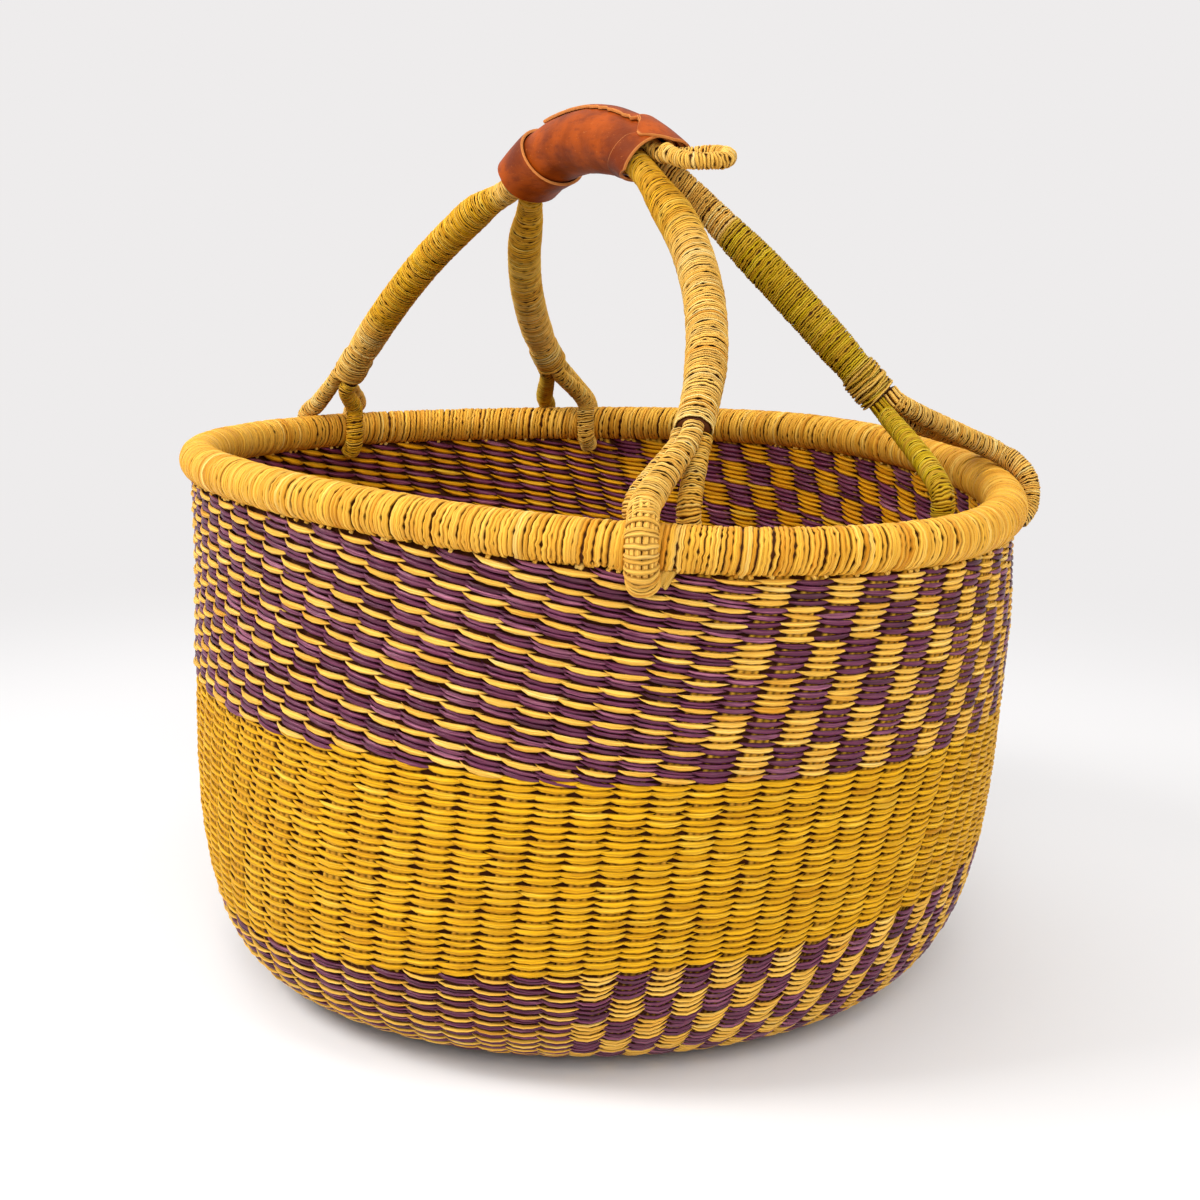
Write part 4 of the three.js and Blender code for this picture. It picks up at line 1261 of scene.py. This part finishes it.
def stem(name, leg, at, outer, turn, slant=0.0, radius=STEM, dyed=0.0, slot="natural_straw",
         finish=wrap_mustard, bare=0.3, opening=None):
    """A wrapped stem. Bare is how much of its top shows the straws inside, and opening is where,
    near its end, the wrap gives way to separate ties."""
    track = Track(stem_line(leg, at, outer, turn, slant, radius))
    end = track.end

    def size(where):
        return mix(STEM_TOP, radius, np.minimum(2 * np.clip(where / end, 0, 1), 1))

    core(name + "_core", track, lambda w: size(w) - CORE_INSET, 10)
    last = opening * end if opening else end - 0.5
    places = grouped(bare, last, STEM_PITCH, STEM_GROUP)
    wrap(name + "_wrap", track, size, places, STEM_TURN, finish, slot, (name,), dye=dyed, **STEM_WRAP)
    if bare > 1:
        turns = np.arange(8) / 8 * TURN
        bundle(name + "_top_straws", track, lambda w: size(w) - 0.7, turns, 0.2, bare + 3, 1.9,
               finish, dyed)
    if opening:
        faced = float(track.facing(np.array([mix(last, end, 0.5)]), VIEW)[0])
        turns = faced + np.linspace(-1.7, 1.7, 8)
        bundle(name + "_foot_straws", track, lambda w: size(w) - 0.75, turns, last - 6, end - 0.5, 2.3,
               finish)
        ties = tie_places(last, end)
        laid_out = (ties, np.arange(len(ties)), np.full(len(ties), 0.5))
        wrap(name + "_ties", track, lambda w: size(w) + 0.55, laid_out, STEM_TURN, finish, slot,
             dye=0.1, **TIE_WRAP)


def foot_tuft():
    """Ends of straw tucked down between the front foot and the wall."""
    point, along, out = rim_at(TUFT_AT)
    order = np.arange(TUFT_COUNT)[:, None]
    start = point + out * 5.2 - UP * 7.4 + along * (order * 0.9)
    ahead = unit(-UP * 0.86 - along * 0.5 + out * (0.05 * order - 0.1))
    length = TUFT_LENGTH + uneven(TUFT_COUNT, 0.9)
    stubs("foot_tuft", start, ahead, unit(np.cross(ahead, out)), (length, 0.85, 0.6), 8, 0.15)


foot_tuft()
stem("stem_left_inner", LEFT, 178, False, 180, dyed=0.95, slot="mustard_straw")
stem("stem_left_outer_near", LEFT, 182, True, 60)
stem("stem_left_outer_far", LEFT, 175, True, -60)
stem("stem_back_inner", BACK, 137, False, 180, dyed=0.3)
stem("stem_back_outer_near", BACK, 145.5, True, 60, dyed=0.8, slot="olive_straw", finish=wrap_olive)
stem("stem_back_outer_far", BACK, 138.5, True, -60, dyed=0.3)
stem("stem_front_outer", FRONT, 326.5, True, 0, radius=BIG_STEM, opening=0.66)
stem("stem_front_inner_near", FRONT, 324.8, False, -120)
stem("stem_front_inner_far", FRONT, 331, False, 120, dyed=0.4)
stem("stem_right_inner", RIGHT, 6, False, 180, dyed=1.0, slot="olive_straw", finish=wrap_olive, bare=7)
stem("stem_right_outer_near", RIGHT, 36, True, -60, slant=-6, finish=wrap_olive, bare=6)
stem("stem_right_outer_far", RIGHT, 42, True, 60, slant=-2, finish=wrap_olive, bare=5)

COLLAR_PITCH, COLLAR_GROUP = 1.15, 3


def collar(name, leg, dyed, slot, finish, proud):
    """The binding above a fork. Proud is how far it stands out from the leg."""
    end, ahead = fork_end(leg)
    track = Track(np.array([end - ahead * COLLAR_LENGTH * (1 - i / 8) for i in range(9)]))

    def size(where):
        bulge = 0.5 + 0.5 * np.sin(math.pi * np.clip(where / COLLAR_LENGTH, 0, 1))
        return BOUND + 0.5 + proud * bulge

    places = grouped(0.7, COLLAR_LENGTH - 0.7, COLLAR_PITCH, COLLAR_GROUP)
    wrap(name + "_turns", track, size, places, HOOP_TURN, finish, slot, (name,),
         dye=lambda w: dyed + 0.3 * np.sin(w * 2.1), tilt=0.2 + 0.4 * proud, **COLLAR_WRAP)


collar("fork_collar_left", LEFT, 0.0, "natural_straw", wrap_mustard, 0.5)
collar("fork_collar_back", BACK, 0.2, "natural_straw", wrap_mustard, 0.4)
collar("fork_collar_right", RIGHT, 0.45, "olive_straw", wrap_olive, 1.0)

# The loop and its other end. The shape is shares of the length and half width, and millimetres up.
LOOP, LOOP_LENGTH, LOOP_HALF, LOOP_LEAVE, TAIL = 3.4, 38.0, 10.0, 1.1, 9.0
LOOP_PITCH, LOOP_GROUP = 1.25, 2
GROOVE = math.sqrt((HOOP_CORE + LOOP + 2 * GAP) ** 2 - HOOP_OFFSET**2)
LOOP_ALONG = np.array([1.0, 0, 0])
LOOP_SIDE = unit(np.array([0, 1.0, 0.12]))
LOOP_SHAPE = (
    (0.21, 0.5, -1), (0.47, 1, -1), (0.76, 0.9, -2), (0.91, 0, -3), (0.76, -0.9, -2.2), (0.5, -1, -0.6),
    (0.26, -0.75, 2),
)


def loop():
    root = grip_point(LOOP_LEAVE, 0, GROOVE + GAP)
    points = [grip_point(0.8, 0, GROOVE), grip_point(1, 0, GROOVE), root]
    for along, side, rise in LOOP_SHAPE:
        points.append(root + LOOP_ALONG * along * LOOP_LENGTH + LOOP_SIDE * side * LOOP_HALF + UP * rise)
    start, edge = grip_point(-0.85, 0, GROOVE), grip_point(-1, 0, GROOVE)
    tail = [start, edge, edge + unit(edge - start) * TAIL]
    for name, shape, steps, dyed in (("hanging_loop", points, 120, 0.15), ("loop_tail", tail, 24, 0.35)):
        track = Track(smooth_line(shape, steps))
        core(name + "_core", track, even(LOOP - 0.8), 10)
        places = grouped(0.5, track.end - 0.5, LOOP_PITCH, LOOP_GROUP)
        wrap(name + "_wrap", track, even(LOOP + 0.05), places, STEM_TURN, wrap_mustard, "natural_straw",
             (name,), dye=dyed, **LOOP_WRAP)


loop()


# Leather
def leather_finish():
    f = Finish("grip_leather")
    place = f.place()
    blotch = f.noise(place, (55, 55, 55), 3.0)
    pores = f.noise(place, (1500, 1500, 1500))
    creases = f.noise(place, (150, 420, 420), 4.0, 0.65)
    scuffs = f.noise(place, (420, 900, 900), 4.0, 0.7).above(0.62, 0.72)
    color = f.blend(blotch.above(0.3, 0.7), linear(106, 36, 0), linear(168, 72, 8))
    color = f.blend(creases.above(0.32, 0.5), f.blend(0.45, color, linear(96, 30, 4)), color)
    color = f.blend(scuffs * 0.4, color, linear(216, 132, 70))
    color = f.blend(f.attribute("cut") * 0.85, color, linear(216, 140, 74))
    normal = f.bump(creases * 0.8 + pores * 0.2 - scuffs * 0.25, 0.5, 0.0005)
    f.set(base_color=color, roughness=0.46 + 0.16 * blotch + 0.15 * scuffs, normal=normal)
    return f.set(specular_ior_level=0.22, specular_tint=(1.0, 0.55, 0.3))


leather = leather_finish()
# Underneath, the leather draws in, most at the end with the loop, where it hugs the hoops.
DRAW_IN, DRAW_FROM, DRAW_TO = 3.0, 16.0, 50.0
HUG, HUG_FROM, HUG_TO = 3.6, 30.0, 52.0
CUT_EDGE = 0.01  # share of a sheet that shows its pale cut edge
# Ends along the grip at the side, at the top and at the bottom
LEFT_END = (-48.0, -53.0, -48.0)
RIGHT_END = (58.5, 58.0, 51.0)
INNER_END = (26.7, 31.7, 21.7)
CUFF_BEYOND = 3.8
# Edges by turn about the grip in degrees and place along it. Near the top of the right cuff, a notch
# shows where its two ends meet, and a flap lies over it.
CUFF_EDGE = (
    (-90, 40.0), (60, 39.0), (90, 39.5), (103, 46.5), (122, 52.0), (133, 49.5), (160, 48.0), (198, 46.0),
    (270, 40.0),
)
FLAP_NEAR = ((30, 40.0), (94, 42.0), (102, 46.5), (112, 49.0), (124, 53.0))
FLAP_FAR = ((30, 60.0), (60, 62.0), (86, 63.0), (106, 59.0), (124, 54.6))
FLAP_FROM, FLAP_TO, FLAP_THICK = 30, 124, 1.1
LAP_START, LAP_END, LAP_NEAR, LAP_FAR, LAP_THICK = -22.0, 40.5, 101, 62, 1.5


def leather_point(along, turn, radius):
    drawn = DRAW_IN * smooth(np.abs(along), DRAW_FROM, DRAW_TO) + HUG * smooth(along, HUG_FROM, HUG_TO)
    drawn = drawn * (np.sin(turn) < 0)
    return grip_point(along / GRIP_HALF, radius * np.cos(turn), (radius - drawn) * np.sin(turn))


def leather_sheet(name, place, steps, bore, thick, replaced=(), rolled=False, ripple=0.1, cut=CUT_EDGE):
    """A sheet of leather laid round the grip. Place turns its own two directions, 0 to 1, into the
    way along the grip and the turn about it. A rolled sheet closes on itself."""
    deselect()
    bpy.ops.mesh.primitive_grid_add(x_subdivisions=steps[0], y_subdivisions=steps[1], size=1)
    sheet = bpy.context.object
    sheet.name = name
    flat = np.array([v.co for v in sheet.data.vertices]) + 0.5
    first, second = 1.0 / np.array(steps)
    ahead = np.interp(flat[:, 0], [0, first, 1 - first, 1], [0, cut, 1 - cut, 1])
    beside = flat[:, 1]
    if not rolled:
        beside = np.interp(beside, [0, second, 1 - second, 1], [0, 4 * CUT_EDGE, 1 - 4 * CUT_EDGE, 1])
    along, turn = place(ahead, beside)
    wave = np.sin(3 * turn + 0.17 * along) + 0.7 * np.sin(5 * turn - 0.26 * along)
    wave = wave + 0.6 * np.sin(0.48 * along + 2 * turn)
    folds = 0.35 * np.sin(1.1 * along + 2 * np.sin(turn)) * smooth(-np.sin(turn), 0.3, 1)
    points = leather_point(along, turn, bore + thick + ripple * (wave + folds))
    sheet.data.vertices.foreach_set("co", (points * MM).astype(np.float32).ravel())
    edge = np.minimum(flat[:, 0], 1 - flat[:, 0])
    if not rolled:
        edge = np.minimum(edge, np.minimum(flat[:, 1], 1 - flat[:, 1]))
    add_attribute(sheet.data, "cut", (edge < 1e-4).astype(float))
    sheet.data.update()
    if rolled:
        edit_all()
        bpy.ops.mesh.remove_doubles(threshold=0.00001)
        bpy.ops.object.mode_set(mode="OBJECT")
    centre = grip_point(0.0)
    if sum(np.dot(np.array(p.normal), np.array(p.center) / MM - centre) for p in sheet.data.polygons) < 0:
        sheet.data.flip_normals()
    finish_sheet(sheet, thick)
    return dressed(sheet, leather, replaced)


def finish_sheet(sheet, thick):
    wall = sheet.modifiers.new("wall", "SOLIDIFY")
    wall.thickness = thick * MM
    wall.offset = -1
    bpy.ops.object.modifier_apply(modifier="wall")
    bevel = sheet.modifiers.new("bevel", "BEVEL")
    bevel.width = 0.3 * MM
    bevel.segments = 2
    bevel.limit_method = "ANGLE"
    bpy.ops.object.modifier_apply(modifier="bevel")
    bpy.ops.object.shade_smooth_by_angle(angle=math.radians(40))


def cut_at(end, turn):
    side, top, bottom = end
    height = np.sin(turn)
    return mix(side, np.where(height > 0, top, bottom), np.abs(height))


def moved(end, by):
    return tuple(e + by for e in end)


def sleeve_place(s, t):
    turn = t * TURN
    start, end = moved(LEFT_END, CUFF_BEYOND), moved(RIGHT_END, -CUFF_BEYOND)
    return mix(cut_at(start, turn), cut_at(end, turn), s), turn


def left_cuff_place(s, t):
    turn = t * TURN
    return mix(cut_at(LEFT_END, turn), cut_at(tuple(-e for e in INNER_END), turn), s), turn


def right_cuff_place(s, t):
    turn = t * TURN
    degrees = np.degrees(turn)
    degrees = np.where(degrees > 270, degrees - 360, degrees)
    return mix(np.interp(degrees, *zip(*CUFF_EDGE)), cut_at(RIGHT_END, turn), s), turn


def flap_place(s, t):
    """The end of the right cuff, laid over its beginning on top of the grip."""
    degrees = mix(FLAP_FROM, FLAP_TO, t)
    near, far = (np.interp(degrees, *zip(*edge)) for edge in (FLAP_NEAR, FLAP_FAR))
    return mix(near, far, s), np.radians(degrees)


def lap_place(s, t):
    """The lapped seam: its near edge is scalloped where the lacing draws it in."""
    along = mix(LAP_START, LAP_END, s)
    scallop = 4.0 * np.abs(np.sin(along * 0.42)) + 1.6 * np.sin(along * 1.1)
    near = LAP_NEAR + scallop + 8 * smooth(-along, -4, 22)
    return along, np.radians(mix(near, LAP_FAR, t))


leather_sheet("grip_leather_sleeve", sleeve_place, (44, 44), SLEEVE_BORE, SLEEVE_THICK,
              ("grip_sleeve",), rolled=True)
leather_sheet("grip_leather_cuff_left", left_cuff_place, (16, 44), CUFF_BORE, CUFF_THICK,
              ("grip_cuff_left",), rolled=True, ripple=0.08)
leather_sheet("grip_leather_cuff_right", right_cuff_place, (14, 72), CUFF_BORE, CUFF_THICK,
              ("grip_cuff_right",), rolled=True, ripple=0.08, cut=0.04)
leather_sheet("grip_leather_flap", flap_place, (16, 30), CUFF_BORE + CUFF_THICK + GAP / 2, FLAP_THICK,
              ripple=0.05, cut=0.03)
leather_sheet("grip_leather_lap", lap_place, (60, 8), SLEEVE + GAP, LAP_THICK,
              ("grip_seam_lap",), ripple=0.05)

# Studio
BACKDROP = linear(238, 236, 236)
FLOOR = (0.90, 0.89, 0.89)
FLOOR_SIZE = 8
AMBIENT_LOW, AMBIENT_HIGH = 0.14, 0.66  # light of the room near the floor and from above
# Share of the floor that the camera sees unshaded: none under the basket, some beside it, all far off
GLOW_NEAR, GLOW_FROM, GLOW_TO = 0.45, 0.11, 0.27
FADE_FROM, FADE_TO = 0.35, 1.0
LAMP_AIM = Vector((0, 0, 0.15))
LAMPS = (
    ("lamp_left", (-0.6, -1.25, 1.4), 0.7, 25),
    ("lamp_front", (1.25, -1.05, 1.2), 0.8, 14),
    ("lamp_right", (1.3, 0.3, 1.2), 0.8, 7),
    ("lamp_top", (-0.1, -0.1, 1.7), 1.0, 7),
)


def floor_finish():
    """A pale floor that takes the shadow near the basket and fades into the backdrop."""
    f = Finish("floor")
    distance = f.add("ShaderNodeVectorMath", {"operation": "LENGTH"}, {0: f.place()}, out="Value")
    near = GLOW_NEAR * distance.above(GLOW_FROM, GLOW_TO)
    share = f.seen() * (near + (1 - near) * distance.above(FADE_FROM, FADE_TO))
    f.set(base_color=FLOOR, roughness=0.9, specular_ior_level=0.0)
    glow = f.add("ShaderNodeEmission", None, {"Color": BACKDROP, "Strength": 1.0})
    blend = f.add("ShaderNodeMixShader", None, {0: share, 1: Socket(f, f.shader.outputs[0]), 2: glow})
    f.join(f.tree.nodes["Material Output"].inputs["Surface"], blend)
    return f.material


def light_world():
    """Soft light that is stronger from above. The camera sees the backdrop instead."""
    world = bpy.data.worlds.new("studio")
    bpy.context.scene.world = world
    world.use_nodes = True
    nodes = Nodes(world.node_tree)
    towards = nodes.add("ShaderNodeTexCoord", out="Generated")
    height = nodes.add("ShaderNodeSeparateXYZ", None, {0: towards}, out="Z")
    sockets = {"Value": height, "To Min": AMBIENT_LOW, "To Max": AMBIENT_HIGH}
    light = nodes.add("ShaderNodeMapRange", None, sockets)
    background = world.node_tree.nodes["Background"]
    nodes.join(background.inputs["Color"], nodes.blend(nodes.seen(), light, BACKDROP))
    background.inputs["Strength"].default_value = 1.0


def add_lamp(name, place, size, power):
    data = bpy.data.lights.new(name, "AREA")
    data.shape = "SQUARE"
    data.size = size
    data.energy = power
    lamp = bpy.data.objects.new(name, data)
    lamp.location = place
    lamp.rotation_mode = "QUATERNION"
    lamp.rotation_quaternion = (LAMP_AIM - Vector(place)).to_track_quat("-Z", "Y")
    bpy.context.scene.collection.objects.link(lamp)


def studio():
    deselect()
    bpy.ops.mesh.primitive_plane_add(size=FLOOR_SIZE)
    floor = bpy.context.object
    floor.name = "floor"
    floor.data.materials.append(floor_finish())
    light_world()
    for lamp in LAMPS:
        add_lamp(*lamp)
    bpy.context.scene.view_settings.view_transform = "Standard"


studio()
